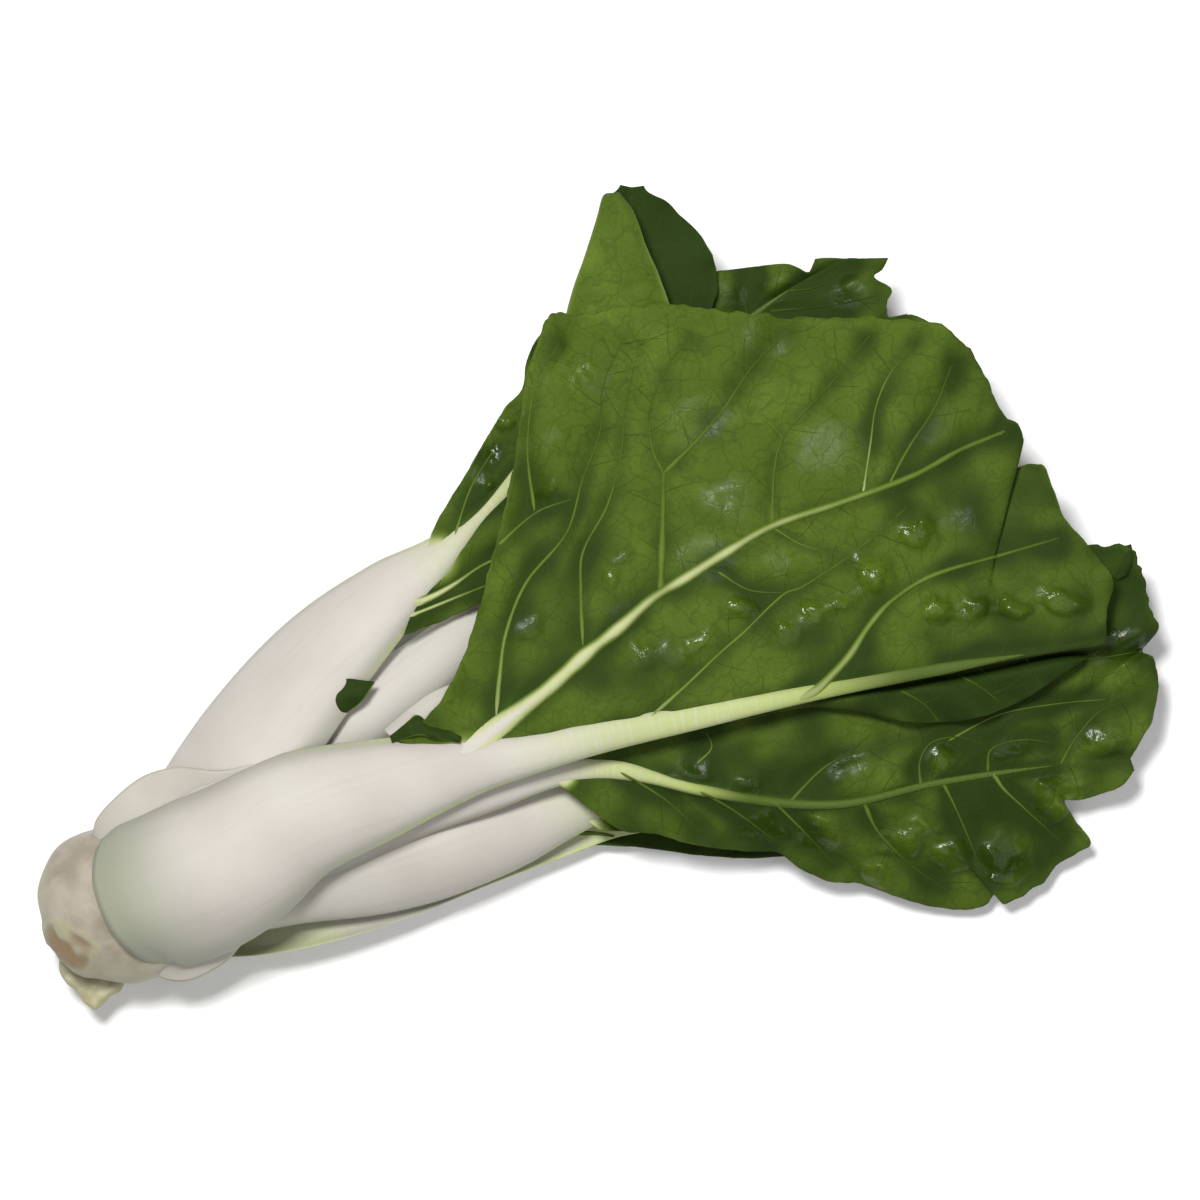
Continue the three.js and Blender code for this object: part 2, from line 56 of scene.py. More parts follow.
# Camera: straight down, turned with the head, on a long lens.
CAMERA_AIM = (150.0, 150.0)
CAMERA_LENS = 150.0
CAMERA_SENSOR = 36.0
CAMERA_PLANE_Z = 30.0
CAMERA_WIDTH_MM = 300.0

# Lights: name, place in mm from above, size in metres and power.
LIGHTS = [
    ("key_light", (-40.0, 470.0, 1150.0), 0.24, 17.0),
    ("fill_light", (450.0, -150.0, 1000.0), 0.9, 4.5),
]
LIGHT_AIM = (150.0, 150.0, 20.0)
WORLD_COLOUR = (1, 1, 1, 1)
WORLD_STRENGTH = 0.16

# Colours, linear.
LEAF_DARK = (0.014, 0.030, 0.0015, 1)
LEAF_MID = (0.058, 0.096, 0.007, 1)
LEAF_LIGHT = (0.092, 0.143, 0.015, 1)
# Dark green of the thin veins, also the colour of the painted shade in the creases and along the net.
LEAF_VEIN_AND_SHADE = (0.020, 0.040, 0.002, 1)
RIB_GREEN = (0.100, 0.150, 0.018, 1)
RIB_FAR = (0.056, 0.092, 0.007, 1)
RIB_PALE = (0.400, 0.430, 0.210, 1)
STALK_WHITE = (0.470, 0.446, 0.402, 1)
STALK_PINK = (0.428, 0.396, 0.356, 1)
STALK_EDGE_GREEN = (0.265, 0.275, 0.205, 1)
STALK_LIME = (0.290, 0.355, 0.100, 1)
PALE_LIME = (0.375, 0.420, 0.180, 1)
HEEL_CREAM = (0.250, 0.215, 0.160, 1)
HEEL_LIGHT = (0.380, 0.335, 0.270, 1)
HEEL_OLIVE = (0.340, 0.325, 0.185, 1)
HEEL_BROWN = (0.230, 0.155, 0.070, 1)
FLOOR_PALE = (0.920, 0.920, 0.920, 1)

# Stalks: thickness of the margin, flatness of the arch, steps along and round, and for the far end
# where it starts to thin out, how much it shrinks and how much it sinks.
STALK_EDGE = 1.4
STALK_FLATTER = 0.42
STALK_RINGS = 150
STALK_SIDES = 56
TAIL_START, TAIL_SHRINK, TAIL_SINK = 0.88, 0.85, 0.35

# Colours of a stalk by mm along it: grey-green near the heel, lime margins where the blade starts.
NEAR_HEEL = (30, 4)
LIME_BEFORE, LIME_AFTER = 55, 25
LIME_MARGIN = (0.84, 1.0)
LIME_STRENGTH = 0.3
ROOT_LIME_REACH = (58, 34)
FLOW_SCALE = 10

# Blades: half their thickness, how much thinner the margin is, and where the tip is rounded off.
BLADE_HALF_THICKNESS = 0.36
MARGIN_THINNING = 0.45
TIP_ROUNDING_START = 0.9

# Large swells of a blade: share of the solid's, rates along x and y, and where the first one lies.
SWELL_SHARE = 0.45
SWELL_RATE_X, SWELL_RATE_Y, SWELL_START = 0.24, 0.21, 1

# Relief of a blade in mm. A bell is the middle and the width of a bell curve.
SHOULDER_REACH, SHOULDER_SHARE = 1.2, 0.12
# Painted shade: the dark crease along each rib's edge.
CREASE_SHADE_BELL, CREASE_SHADE_STRENGTH = (0.5, 1.1), 0.55
MIDRIB_BELL = (0, 3.0)
QUILT_BELL, QUILT_HEIGHT = (0, 4.0), 1.1
CALM_BELL = (0, 2.5)
DITCH_BELL, DITCH_DEPTH, DITCH_NEAR, DITCH_FAR, DITCH_FAR_X = (3.0, 2.2), 3.0, 2.2, 2.6, (210, 230)

# Blisters: how full, stretched, wide and blunt they are, the moat round each and its dark ring, which is
# painted shade.
BLISTER_FULLNESS, BLISTER_STRETCH, BLISTER_REACH, BLISTER_BLUNTNESS = 0.72, 1.25, 0.85, 2.6
BLISTER_FULL_HEIGHT = 2.0
MOAT_BELL, MOAT_DEPTH = (1.5, 0.45), 0.22
RING_SHADE_BELL, RING_SHADE_STRENGTH = (1.25, 0.3), 0.4

# Tone from dark to light: of blades and ribs, and what bumps and quilting add to it.
BLADE_TONE, RIB_TONE = 0.50, 0.45
BUMP_TONE, QUILT_TONE, QUILT_TONE_LEVEL = 0.01, 0.24, 0.75

# Ribs and veins, in mm: columns of a strip, how deep its margins sink, how far a row may slope,
# how the strip tapers and varies, and the spacing of its rows.
VEIN_SINK = 0.18
VEIN_COLUMNS = 7
VEIN_CREASE = 0.25
VEIN_SLOPE = 2.0
VEIN_LEAST_ROWS = 4
VEIN_FADE_START = 0.12
TAPER_POWER, TONE_POWER = 0.55, 1.1
PATCHY_SCALE, PATCHY_LAYER, PATCHY_WIDTH, PATCHY_TONE = 0.13, 3.0, 0.25, 0.35
ABOVE_ALL = 90.0
RIB_STEP, RIB_LEAST_POINTS, RIB_STRIDE = 0.7, 10, 3

# Side ribs of the hidden blades: starts and run as shares of the blade's length, places from
# midrib to margin, and widths, heights and paleness as in the table of ribs.
HIDDEN_RIB_STARTS = [0.06 + 0.13 * i for i in range(6)]
HIDDEN_RIB_RUN, HIDDEN_RIB_BOW = 0.22, 0.8
HIDDEN_RIB_REACH = [0.0, 0.3, 0.6, 0.92]
HIDDEN_RIB_SIZES = [(1.6, 0.6), (0.5, 0.2), (0.4, 0.1)]

# Thin branches of the ribs: spacing and reach in mm, ranges of the seeded draws, and sizes.
BRANCH_SEED = 11
BRANCH_SPACING, BRANCH_FIRST_RANGE, BRANCH_NEXT_RANGE = 6.0, (0.8, 1.6), (0.55, 1.3)
BRANCH_ANGLE, BRANCH_ANGLE_RANGE = math.radians(52), (0.8, 1.25)
BRANCH_REACH, BRANCH_BEND, BRANCH_WANDER = (5, 13), 0.05, 0.09
BRANCH_STEPS, BRANCH_COLUMNS = 12, 4
BRANCH_SIZES = [(0.5, 0.22), (0.14, 0.05), (0.02, 0.0)]
BRANCH_CREASE, BRANCH_DARKER = 0.7, 0.1
MIDRIB_POINTS = 160

# Layers of smooth noise: scale per mm, seed, and height in mm or strength.
BLADE_WAVES = [(0.045, 1, 0.9), (0.13, 2, 0.35), (0.45, 12, 0.06)]
RUFFLE = [(0.13, 3, 2.2)]
FINE_RUFFLE = [(0.35, 13, 0.4)]
MARGIN_NICKS = [(0.32, 6, 0.015), (0.9, 16, 0.004)]
BLADE_TONES = [(0.035, 4, 0.32), (0.12, 5, 0.26)]
BLISTER_BEND_X = [(0.17, 17, 3.2), (0.5, 18, 0.9)]
BLISTER_BEND_Y = [(0.17, 19, 3.2), (0.5, 20, 0.9)]
BLISTER_CRUMPLE = [(0.38, 21, 0.5)]
STALK_UNEVENNESS = [(0.06, 7, 0.5)]
PATCH_RAGGEDNESS = [(0.22, 8, 4.0)]
HEEL_LUMPS = [(0.12, 9, 0.5)]
FLAP_WRINKLES = [(0.4, 11, 1.2)]
FOLD_TONES = [(0.15, 15, 0.2)]

# Stalk rows: x, y, z of the crest, then width, arch, thickness, roll in degrees and greenness.
# Margin rows are x, y, z from the base of the blade to its tip. The blade starts at a stalk row.
# Wave: height, count and phase of the ruffles along the margin. Blisters: height of the swells.
# Grid: steps from base to tip and from midrib to margin.
LEAVES = {
    "top": {
        "stalk": [
            [27, 71.5, 43, 36, 17, 4, 0, 0], [34.3, 75, 46, 41, 19, 5, 0, 0],
            [55, 83.8, 48.5, 40, 14, 7, 0, 0], [74, 95.8, 48.5, 33, 9, 8, 0, 0],
            [94.5, 102.8, 46.5, 26, 6, 8, 0, 0], [115.8, 108.8, 44, 17, 4, 7, 0, 0],
            [129.5, 111.3, 43, 11.5, 3, 6, 0, 0.05], [150, 116.3, 42, 9, 2, 5, 0, 0.12],
            [175, 121.3, 40.5, 7, 1.5, 4, 0, 0.2], [207.5, 128, 39, 5, 1, 3.2, 0, 0.45],
            [240, 133.8, 36.5, 3.6, 0.5, 2.6, 0, 0.7], [264, 137.8, 34, 2.4, 0.3, 2, 0, 0.85],
        ],
        "from": 5,
        "tip": [276.5, 140, 32],
        "left": [
            [98.8, 115.5, 41.5], [107, 121, 42.5], [113, 129, 42], [118, 141, 42], [121.5, 153, 41.5],
            [125, 168, 41], [128.5, 183, 40], [131.5, 203, 39.5], [136.5, 219, 38.5], [143, 221, 38.5],
            [165, 223.5, 38], [184, 221.5, 38], [203, 220, 38], [221, 220, 37], [236, 217.5, 35.5],
            [245, 208, 34], [249.5, 198, 33], [255.5, 190, 32], [250.5, 182, 31.5], [260, 184, 32],
            [265.5, 171, 32], [277.5, 156, 31.5], [276, 148, 31.5],
        ],
        "right": [
            [133, 108.5, 37], [150, 112.8, 37], [172, 117.8, 35], [190, 121, 33], [207, 123.5, 31.5],
            [225, 119.8, 30.5], [240, 119.8, 30], [254, 124, 29.5], [268, 133, 30], [275, 137.5, 31],
        ],
        "wave": [1.6, 7, 0.4],
        "blisters": 1.1,
        "grid": [220, 74],
    },
    "left": {
        "stalk": [
            [31, 86, 32, 30, 12, 4, 45, 0], [39, 93, 34, 36, 13, 5, 38, 0],
            [53.8, 110, 36.5, 36, 11, 7, 30, 0], [66.5, 125, 37, 33, 9, 8, 27, 0],
            [80.5, 139.5, 36, 28, 7, 8, 24, 0], [96, 152.5, 34, 20, 5, 7, 20, 0],
            [108, 160.5, 32.5, 12, 3, 5, 12, 0.1], [118.8, 170, 31, 5.5, 1.5, 3.6, 8, 0.15],
            [128, 180, 30, 4.6, 1, 3.2, 4, 0.25], [140, 196, 29, 4, 0.8, 2.8, 0, 0.5],
            [149, 215, 29, 3.2, 0.5, 2.4, 0, 0.8], [154, 233, 30, 2.4, 0.3, 2, 0, 0.95],
        ],
        "from": 6,
        "tip": [158, 253, 32],
        "left": [
            [106.5, 161.5, 29.5], [109, 169, 31], [113, 176, 30], [118, 184, 29], [121.5, 190.5, 28.5],
            [126, 197.5, 28], [130.5, 203, 28.5], [132, 211, 30], [137, 218, 32], [144, 223, 34],
            [147, 235, 36], [150, 248, 35], [152, 254, 34],
        ],
        "right": [
            [101, 141, 33], [113, 146, 32], [125, 152, 30.5], [139, 161, 28.5], [154, 178, 27],
            [166, 198, 27], [175, 215, 28], [179.5, 230, 29], [176, 240, 28], [169, 247.5, 28],
            [164, 254, 29],
        ],
        "wave": [1.2, 5, 1.2],
        "blisters": 0.8,
        "grid": [160, 56],
    },
    "lower": {
        "stalk": [
            [37, 66, 30, 28, 11, 4, -48, 0], [52, 70, 31, 30, 11, 6, -40, 0],
            [72, 75.5, 30, 30, 9, 7.5, -32, 0], [98, 80.5, 28.5, 29, 8, 8, -26, 0],
            [122, 88, 26, 24, 7, 8, -20, 0], [143, 97, 22, 16, 5, 6, -12, 0.1],
            [158, 101, 17, 9, 2, 4.5, -6, 0.2], [180, 102, 13, 6, 1, 3.5, 0, 0.5],
            [205, 101, 11, 4, 0.6, 3, 0, 0.7], [225, 100, 10.5, 3, 0.3, 2.5, 0, 0.9],
        ],
        "from": 5,
        "tip": [245, 99, 9.5],
        "left": [
            [146, 106, 18], [164, 116, 15], [186, 124, 13], [210, 125, 12], [230, 117, 11], [243, 105, 10],
        ],
        "right": [[150, 92, 17], [164, 91, 13], [184, 88, 10], [206, 86, 9], [228, 88, 9], [242, 94, 9.5]],
        "wave": [0.8, 3, 0.5],
        "blisters": 0.5,
        "grid": [70, 24],
    },
    "inner": {
        "stalk": [
            [44, 93, 28, 18, 5, 4, 14, 0], [62, 103, 30.5, 20, 5, 6, 12, 0], [82, 117, 31.5, 19, 5, 7, 10, 0],
            [100, 129, 31, 17, 4, 6.5, 8, 0], [117, 143, 28, 13, 3, 5.5, 6, 0.05],
            [134, 160, 23.5, 8, 2, 4.5, 4, 0.2], [152, 182, 21.5, 5.5, 1, 3.6, 2, 0.5],
            [170, 202, 22.5, 4.4, 0.8, 3.2, 0, 0.8], [187, 220, 25, 3.2, 0.5, 2.6, 0, 0.95],
            [202, 231, 27, 2.4, 0.3, 2, 0, 1],
        ],
        "from": 5,
        "tip": [212, 235.5, 28],
        "left": [
            [131, 163, 22], [135, 175, 21], [142, 188, 21], [152, 202, 21], [163, 216, 22], [172, 227, 24],
            [178, 232, 25], [188, 233.5, 26.5], [197, 234, 27.5], [202, 232, 28], [204, 235.5, 28],
        ],
        "right": [
            [141, 158, 21.5], [158, 162, 21], [178, 169, 21], [198, 180, 21.5], [216, 193, 22.5],
            [231, 205, 24], [238, 214, 25.5], [234, 219, 26.2], [228.5, 221.5, 26.8], [222.5, 220.8, 27.4],
            [221.8, 224.5, 27.8], [222.6, 228, 28], [218.6, 230.8, 28], [220.8, 233, 28], [222.2, 235.6, 28],
        ],
        "wave": [0.9, 4, 0.2],
        "blisters": 0.7,
        "grid": [150, 50],
    },
    "right": {
        "stalk": [
            [58, 80, 33, 16, 4, 4, 0, 0], [80, 89, 35, 18, 4, 6, 0, 0], [103, 97.5, 35.5, 15, 3.5, 6, -4, 0],
            [122.5, 102.5, 34.5, 12, 3, 5.5, -8, 0], [140, 107, 32.5, 8, 2, 4.6, -8, 0.05],
            [155, 107.3, 30.5, 6.5, 1.5, 4.2, -5, 0.15], [175, 102.5, 28, 5.5, 1.2, 3.8, 0, 0.35],
            [197.5, 99, 25.5, 4.8, 1, 3.4, 0, 0.6], [212.5, 99, 24, 4.2, 0.8, 3, 0, 0.72],
            [232.5, 103.5, 21.5, 3.6, 0.5, 2.6, 0, 0.8], [250, 106.3, 19.5, 3, 0.4, 2.4, 0, 0.88],
            [271, 109, 17.5, 2.4, 0.3, 2, 0, 0.95],
        ],
        "from": 4,
        "tip": [284, 110, 16],
        "left": [
            [139, 112, 30], [152, 122, 28.5], [172, 134, 27.5], [196, 144, 27], [220, 151, 26],
            [244, 157, 25], [264, 162, 24], [281, 163.5, 24], [286, 158, 23], [288.3, 149, 21.5],
            [290.4, 143, 20.6], [287, 137.4, 19.8], [289.4, 135.5, 19.6], [290.8, 128, 18.5], [289, 119, 17],
        ],
        "right": [
            [139, 104.6, 30.4], [154, 93, 27], [163.5, 91.5, 25], [172.5, 88.8, 22], [185, 86.8, 19],
            [195, 86.2, 17], [201, 82, 15], [208, 78.8, 13], [217, 77.8, 11], [225, 75, 9.5], [235, 72, 8],
            [246, 71.5, 7], [251, 75.5, 8], [253, 73, 7.5], [262, 78, 8], [268, 84, 9], [274.5, 88, 9],
            [270.5, 94, 10.5], [267.5, 99, 12], [272, 99.5, 12.5], [281, 102.5, 14], [285, 107, 15.5],
        ],
        "wave": [1.3, 6, 2.0],
        "blisters": 1.0,
        "grid": [230, 72],
    },
    "outer": {
        "stalk": [
            [42, 66, 5, 24, 9, 4, -150, 0], [56, 68, 3, 29, 9, 5, -152, 0],
            [74, 71.5, 2.2, 30, 8, 6, -154, 0], [95, 77, 2, 27, 7, 6.5, -156, 0],
            [118, 84, 2.5, 21, 6, 6, -158, 0], [140, 90, 4, 14, 4, 5, -162, 0.1],
            [156, 93, 5, 7, 1.5, 3.6, -172, 0.3], [176, 94, 5, 4.6, 0.8, 3, -180, 0.6],
            [198, 94, 5, 3.2, 0.4, 2.4, -180, 0.9],
        ],
        "from": 5,
        "tip": [218, 93.5, 6.5],
        "left": [[144, 97, 8], [160, 104, 7.5], [178, 108, 7], [198, 106, 6.5], [214, 98, 6.5]],
        "right": [[146, 88, 8], [160, 87, 6], [180, 84.5, 5], [200, 85, 5], [215, 89.5, 6]],
        "wave": [0.4, 3, 0.2],
        "blisters": 0.3,
        "grid": [60, 20],
    },
    "under": {
        "stalk": [
            [40, 83, 2, 30, 9, 5, 176, 0], [58, 94, -0.8, 34, 9, 7, 178, 0], [78, 106, -1, 32, 8, 8, 180, 0],
            [100, 120, -1, 26, 6, 8, 180, 0], [122, 136, -0.8, 18, 4, 7, 180, 0],
            [142, 150, -0.2, 10, 2.5, 5, 180, 0.1], [162, 163, 0.4, 6, 1.2, 4, 180, 0.3],
            [186, 172, 1, 4.6, 0.8, 3.2, 180, 0.6], [212, 178, 1.2, 3.2, 0.4, 2.4, 180, 0.9],
        ],
        "from": 5,
        "tip": [246, 184, 2.5],
        "left": [
            [139, 156, 4.5], [148, 174, 4], [164, 190, 2.5], [186, 200, 1.2], [210, 202, 0.8],
            [232, 197, 1.2], [244, 189, 2],
        ],
        "right": [
            [148, 146, 4.5], [166, 136, 3], [190, 126, 1], [216, 126, 0], [238, 140, 0], [250, 160, 0.8],
            [250, 178, 2],
        ],
        "wave": [0.6, 4, 1.0],
        "blisters": 0.4,
        "grid": [90, 32],
    },
}

# Ribs and veins in pixels of the photo: side of the midrib, width in mm from root to end,
# height in mm from root to end, paleness from root to end, and the path.
LEFT_SIDE = -1
RIGHT_SIDE = 1
RIB_PIXELS = {
    "top": [
        [LEFT_SIDE, (6.8, 1.3), (1.5, 0.3), (1.0, 0.2), [
            (462, 751), (486, 735), (520, 710), (550, 687), (587, 653), (620, 627), (653, 598), (687, 577),
            (720, 556), (770, 527), (840, 503), (912, 476), (960, 450), (1003, 432),
        ]],
        [LEFT_SIDE, (3.4, 0.8), (1.0, 0.25), (0.55, 0.12), [
            (798, 699), (814, 690), (830, 675), (848, 655), (868, 625), (890, 601), (930, 576), (1001, 555),
            (1058, 538),
        ]],
        [LEFT_SIDE, (2.6, 1.6), (0.7, 0.4), (0.3, 0.2), [(660, 592), (662, 530), (663, 474)]],
        [LEFT_SIDE, (1.4, 0.5), (0.35, 0.15), (0.18, 0.05), [
            (663, 474), (652, 450), (650, 410), (665, 372), (687, 340),
        ]],
        [LEFT_SIDE, (1.6, 0.5), (0.4, 0.15), (0.25, 0.05), [
            (663, 474), (693, 445), (723, 410), (750, 370), (775, 345), (797, 320),
        ]],
        [LEFT_SIDE, (1.6, 0.5), (0.4, 0.15), (0.2, 0.05), [
            (770, 527), (775, 460), (788, 430), (827, 388), (869, 336),
        ]],
        [LEFT_SIDE, (1.1, 0.5), (0.35, 0.15), (0.6, 0.1), [
            (861, 496), (869, 443), (874, 409), (886, 379), (912, 345),
        ]],
        [LEFT_SIDE, (1.0, 0.5), (0.3, 0.15), (0.3, 0.1), [(886, 487), (908, 447), (933, 409), (950, 366)]],
        [LEFT_SIDE, (1.4, 0.5), (0.4, 0.15), (0.35, 0.05), [
            (583, 645), (581, 590), (583, 553), (607, 507), (620, 460), (627, 400), (640, 345),
        ]],
        [LEFT_SIDE, (1.8, 0.5), (0.6, 0.15), (0.5, 0.0), [
            (497, 715), (500, 680), (507, 633), (527, 583), (567, 533), (583, 480), (600, 433), (603, 387),
            (627, 333),
        ]],
        [LEFT_SIDE, (1.1, 0.5), (0.35, 0.15), (0.35, 0.1), [(500, 545), (537, 513), (572, 500)]],
        [LEFT_SIDE, (1.2, 0.5), (0.35, 0.15), (0.3, 0.1), [(535, 512), (528, 450), (537, 383), (560, 345)]],
        [LEFT_SIDE, (1.4, 0.5), (0.4, 0.15), (0.45, 0.1), [
            (650, 716), (683, 687), (720, 652), (743, 632), (783, 594), (801, 587), (859, 548), (905, 508),
        ]],
        [LEFT_SIDE, (0.9, 0.4), (0.3, 0.15), (0.4, 0.1), [(770, 527), (800, 545), (838, 556)]],
        [LEFT_SIDE, (0.9, 0.4), (0.3, 0.15), (0.3, 0.1), [(717, 572), (748, 590), (783, 593)]],
        [RIGHT_SIDE, (0.9, 0.4), (0.25, 0.1), (0.1, 0.0), [(900, 690), (925, 705), (940, 722)]],
        [RIGHT_SIDE, (0.9, 0.4), (0.25, 0.1), (0.1, 0.0), [(960, 675), (985, 690), (1000, 702)]],
    ],
    "left": [
        [RIGHT_SIDE, (2.6, 1.0), (0.9, 0.4), (0.8, 0.4), [
            (414, 604), (434, 596), (455, 584), (478, 568), (497, 558),
        ]],
        [RIGHT_SIDE, (1.4, 0.8), (0.6, 0.3), (0.7, 0.3), [(410, 616), (433, 607), (460, 596), (485, 586)]],
        [LEFT_SIDE, (1.0, 0.5), (0.3, 0.15), (0.4, 0.2), [(455, 535), (470, 490), (492, 452)]],
    ],
    "right": [
        [RIGHT_SIDE, (1.2, 0.5), (0.4, 0.15), (0.3, 0.1), [(620, 772), (665, 800), (700, 832)]],
        [RIGHT_SIDE, (1.3, 0.5), (0.4, 0.15), (0.3, 0.1), [(700, 792), (735, 812), (775, 842)]],
        [RIGHT_SIDE, (1.3, 0.5), (0.4, 0.15), (0.3, 0.1), [(775, 803), (810, 838), (838, 868)]],
        [RIGHT_SIDE, (1.6, 0.5), (0.5, 0.15), (0.3, 0.1), [(866, 805), (880, 833), (912, 866), (951, 894)]],
        [RIGHT_SIDE, (1.4, 0.5), (0.5, 0.15), (0.3, 0.1), [(946, 785), (958, 808), (973, 841), (985, 870)]],
        [RIGHT_SIDE, (1.5, 0.5), (0.5, 0.15), (0.4, 0.1), [
            (996, 774), (1007, 790), (1023, 805), (1066, 844),
        ]],
        [LEFT_SIDE, (1.0, 0.5), (0.35, 0.15), (0.4, 0.2), [(697, 764), (712, 748), (706, 732)]],
        [LEFT_SIDE, (1.3, 0.5), (0.4, 0.15), (0.25, 0.1), [(790, 803), (830, 765), (870, 750), (930, 735)]],
        [LEFT_SIDE, (1.2, 0.5), (0.4, 0.15), (0.25, 0.1), [
            (923, 787), (922, 762), (933, 744), (960, 738), (985, 745),
        ]],
        [LEFT_SIDE, (1.2, 0.5), (0.4, 0.15), (0.25, 0.1), [(991, 773), (994, 751), (1026, 741), (1060, 745)]],
        [LEFT_SIDE, (1.1, 0.5), (0.35, 0.15), (0.25, 0.1), [
            (1065, 766), (1080, 740), (1105, 712), (1140, 700),
        ]],
        [LEFT_SIDE, (1.1, 0.5), (0.35, 0.15), (0.35, 0.2), [
            (950, 742), (1000, 716), (1050, 706), (1110, 700),
        ]],
        [LEFT_SIDE, (1.1, 0.5), (0.35, 0.15), (0.3, 0.2), [(1070, 660), (1105, 658), (1143, 652)]],
    ],
    "inner": [
        [LEFT_SIDE, (1.0, 0.5), (0.3, 0.15), (0.15, 0.05), [(748, 316), (745, 290), (758, 272)]],
        [RIGHT_SIDE, (1.0, 0.5), (0.3, 0.15), (0.15, 0.05), [(790, 290), (820, 285), (850, 262)]],
        [RIGHT_SIDE, (1.0, 0.5), (0.3, 0.15), (0.15, 0.05), [(770, 310), (830, 305), (880, 295)]],
    ],
    "lower": [],
    "outer": [],
    "under": [],
}

# Blisters in pixels of the photo: x, y, then radius and height in mm.
BLISTER_PIXELS = {
    "top": [
        (607, 577, 3.6, 1.4), (622, 560, 2.8, 1.1), (673, 652, 5.5, 1.1), (706, 640, 4.5, 1.4),
        (740, 607, 4.5, 1.7), (787, 630, 4.5, 1.4), (812, 612, 5.0, 1.7), (836, 600, 4.0, 1.7),
        (873, 573, 6.0, 2.5), (858, 594, 2.8, 1.0), (916, 533, 4.5, 1.9), (937, 608, 4.5, 1.9),
        (973, 608, 5.0, 1.9), (1008, 605, 4.2, 1.6), (1066, 601, 5.5, 2.1), (1045, 590, 3.5, 1.0),
        (530, 625, 4.0, 1.0), (780, 560, 6.0, 0.9), (700, 555, 9.0, 0.9), (727, 500, 9.0, 1.0),
        (700, 420, 10.0, 0.9), (590, 380, 8.0, 1.1), (548, 440, 5.0, 0.6), (545, 495, 3.0, 1.2),
        (640, 655, 5.0, 1.2), (620, 610, 5.0, 0.8), (830, 450, 12.0, 0.8), (930, 430, 10.0, 0.6),
        (760, 340, 8.0, 0.8), (960, 520, 7.0, 0.9),
    ],
    "left": [(492, 457, 3.2, 1.5), (505, 427, 3.0, 1.3), (484, 478, 2.8, 1.0)],
    "right": [
        (905, 845, 5.5, 2.0), (930, 830, 4.5, 1.6), (960, 856, 6.5, 1.8), (1060, 800, 8.0, 1.5),
        (820, 838, 7.0, 1.6), (760, 828, 5.5, 1.3), (1100, 745, 7.0, 1.2), (945, 756, 4.5, 1.3),
        (1012, 752, 4.5, 1.3), (850, 765, 7.0, 1.0), (690, 775, 6.0, 1.0), (1010, 864, 8.0, 1.4),
        (742, 792, 5.5, 1.2), (880, 880, 5.0, 1.4), (1120, 650, 8.0, 1.2),
    ],
    "inner": [(730, 290, 5.0, 0.8), (780, 285, 4.5, 0.7), (850, 290, 6.0, 0.9)],
    "lower": [],
    "outer": [],
    "under": [],
}

# How much narrower the midrib is than its solid, where it has turned green.
SLIM = {"top": 0.15, "left": 0.1, "lower": 0.1, "inner": 0.1, "right": 0.42, "outer": 0.1, "under": 0.1}

# How early the midrib turns green, how dark the blade is, how far its pale base reaches in mm,
# how lime a stalk is at its root, and how far a tip is rounded off, leaf by leaf.
EARLY_GREEN = {"top": 1.6, "left": 1.2, "lower": 1.2, "inner": 1.2, "right": 2.0, "outer": 1.2, "under": 1.2}
BLADE_SHADE = {
    "top": -0.02, "left": -0.16, "lower": -0.3, "inner": -0.26, "right": -0.24, "outer": -0.3, "under": -0.3,
}
BASE_PALE_REACH = {"top": 11, "left": 9, "lower": 14, "inner": 12, "right": 6, "outer": 12, "under": 14}
ROOT_LIME = {"outer": 0.17, "lower": 0.08}
TIP_ROUNDING = {"top": 0, "left": 0.5, "lower": 0.6, "inner": 0, "right": 0, "outer": 0.6, "under": 0.6}

# Small folds and curls: their two margins, height of the bow, tone, paleness of the rim, and how
# crumpled they are in mm.
FOLD_STEPS = (44, 20)
FOLD_NOISE = (0.25, 14)
FOLD_RIM = 0.86
FOLD_SHINE = 0.15
FOLDS = {
    # The curled base edge of the top blade: its dark tone is painted shade.
    "top": [{
        "left": [
            [98.2, 116.2, 42.6], [101.5, 119, 43.8], [104.8, 121.6, 44.2], [108, 118.6, 44.4],
            [111.5, 118.2, 44.2], [115.6, 116, 43.8],
        ],
        "right": [
            [98.4, 114.8, 42.8], [101.5, 115.8, 43.6], [105.5, 116.6, 44.6], [108.4, 116, 44.2],
            [111.8, 115.4, 44.6], [115.4, 115, 44],
        ],
        "bow": 0.5, "tone": 0.02, "rim": 0.3, "crumple": 1.5,
    }],
    "left": [{
        "left": [
            [138.5, 212, 32.5], [141, 219, 34.5], [143.5, 228, 36.5], [145.8, 234, 38],
            [149, 243.8, 38], [150.8, 250, 37], [152.5, 251, 36],
        ],
        "right": [
            [173, 212, 33], [169, 219, 36], [166, 227, 38], [164, 232, 39.5],
            [161.3, 237.8, 40.5], [158.3, 245.8, 40], [154.5, 251, 38],
        ],
        "bow": 2.0, "tone": 0.75, "rim": 0.5, "crumple": 0.7,
    }, {
        "left": [[83.8, 121, 35], [84, 126, 37.2], [86.2, 130.6, 37.6]],
        "right": [[84.6, 120.8, 35], [90.4, 124.6, 35.8], [94, 129.6, 36]],
        "bow": 0.5, "tone": 0.05, "rim": 0.7, "crumple": 1.0,
    }],
    "right": [{
        "left": [[279.5, 155, 25], [281, 160, 26], [281.5, 163.5, 26]],
        "right": [[282, 156.5, 25], [283.5, 161, 26], [283, 164, 26]],
        "bow": 0.3, "tone": 0.0, "rim": 0.0, "crumple": 0.7,
    }],
}

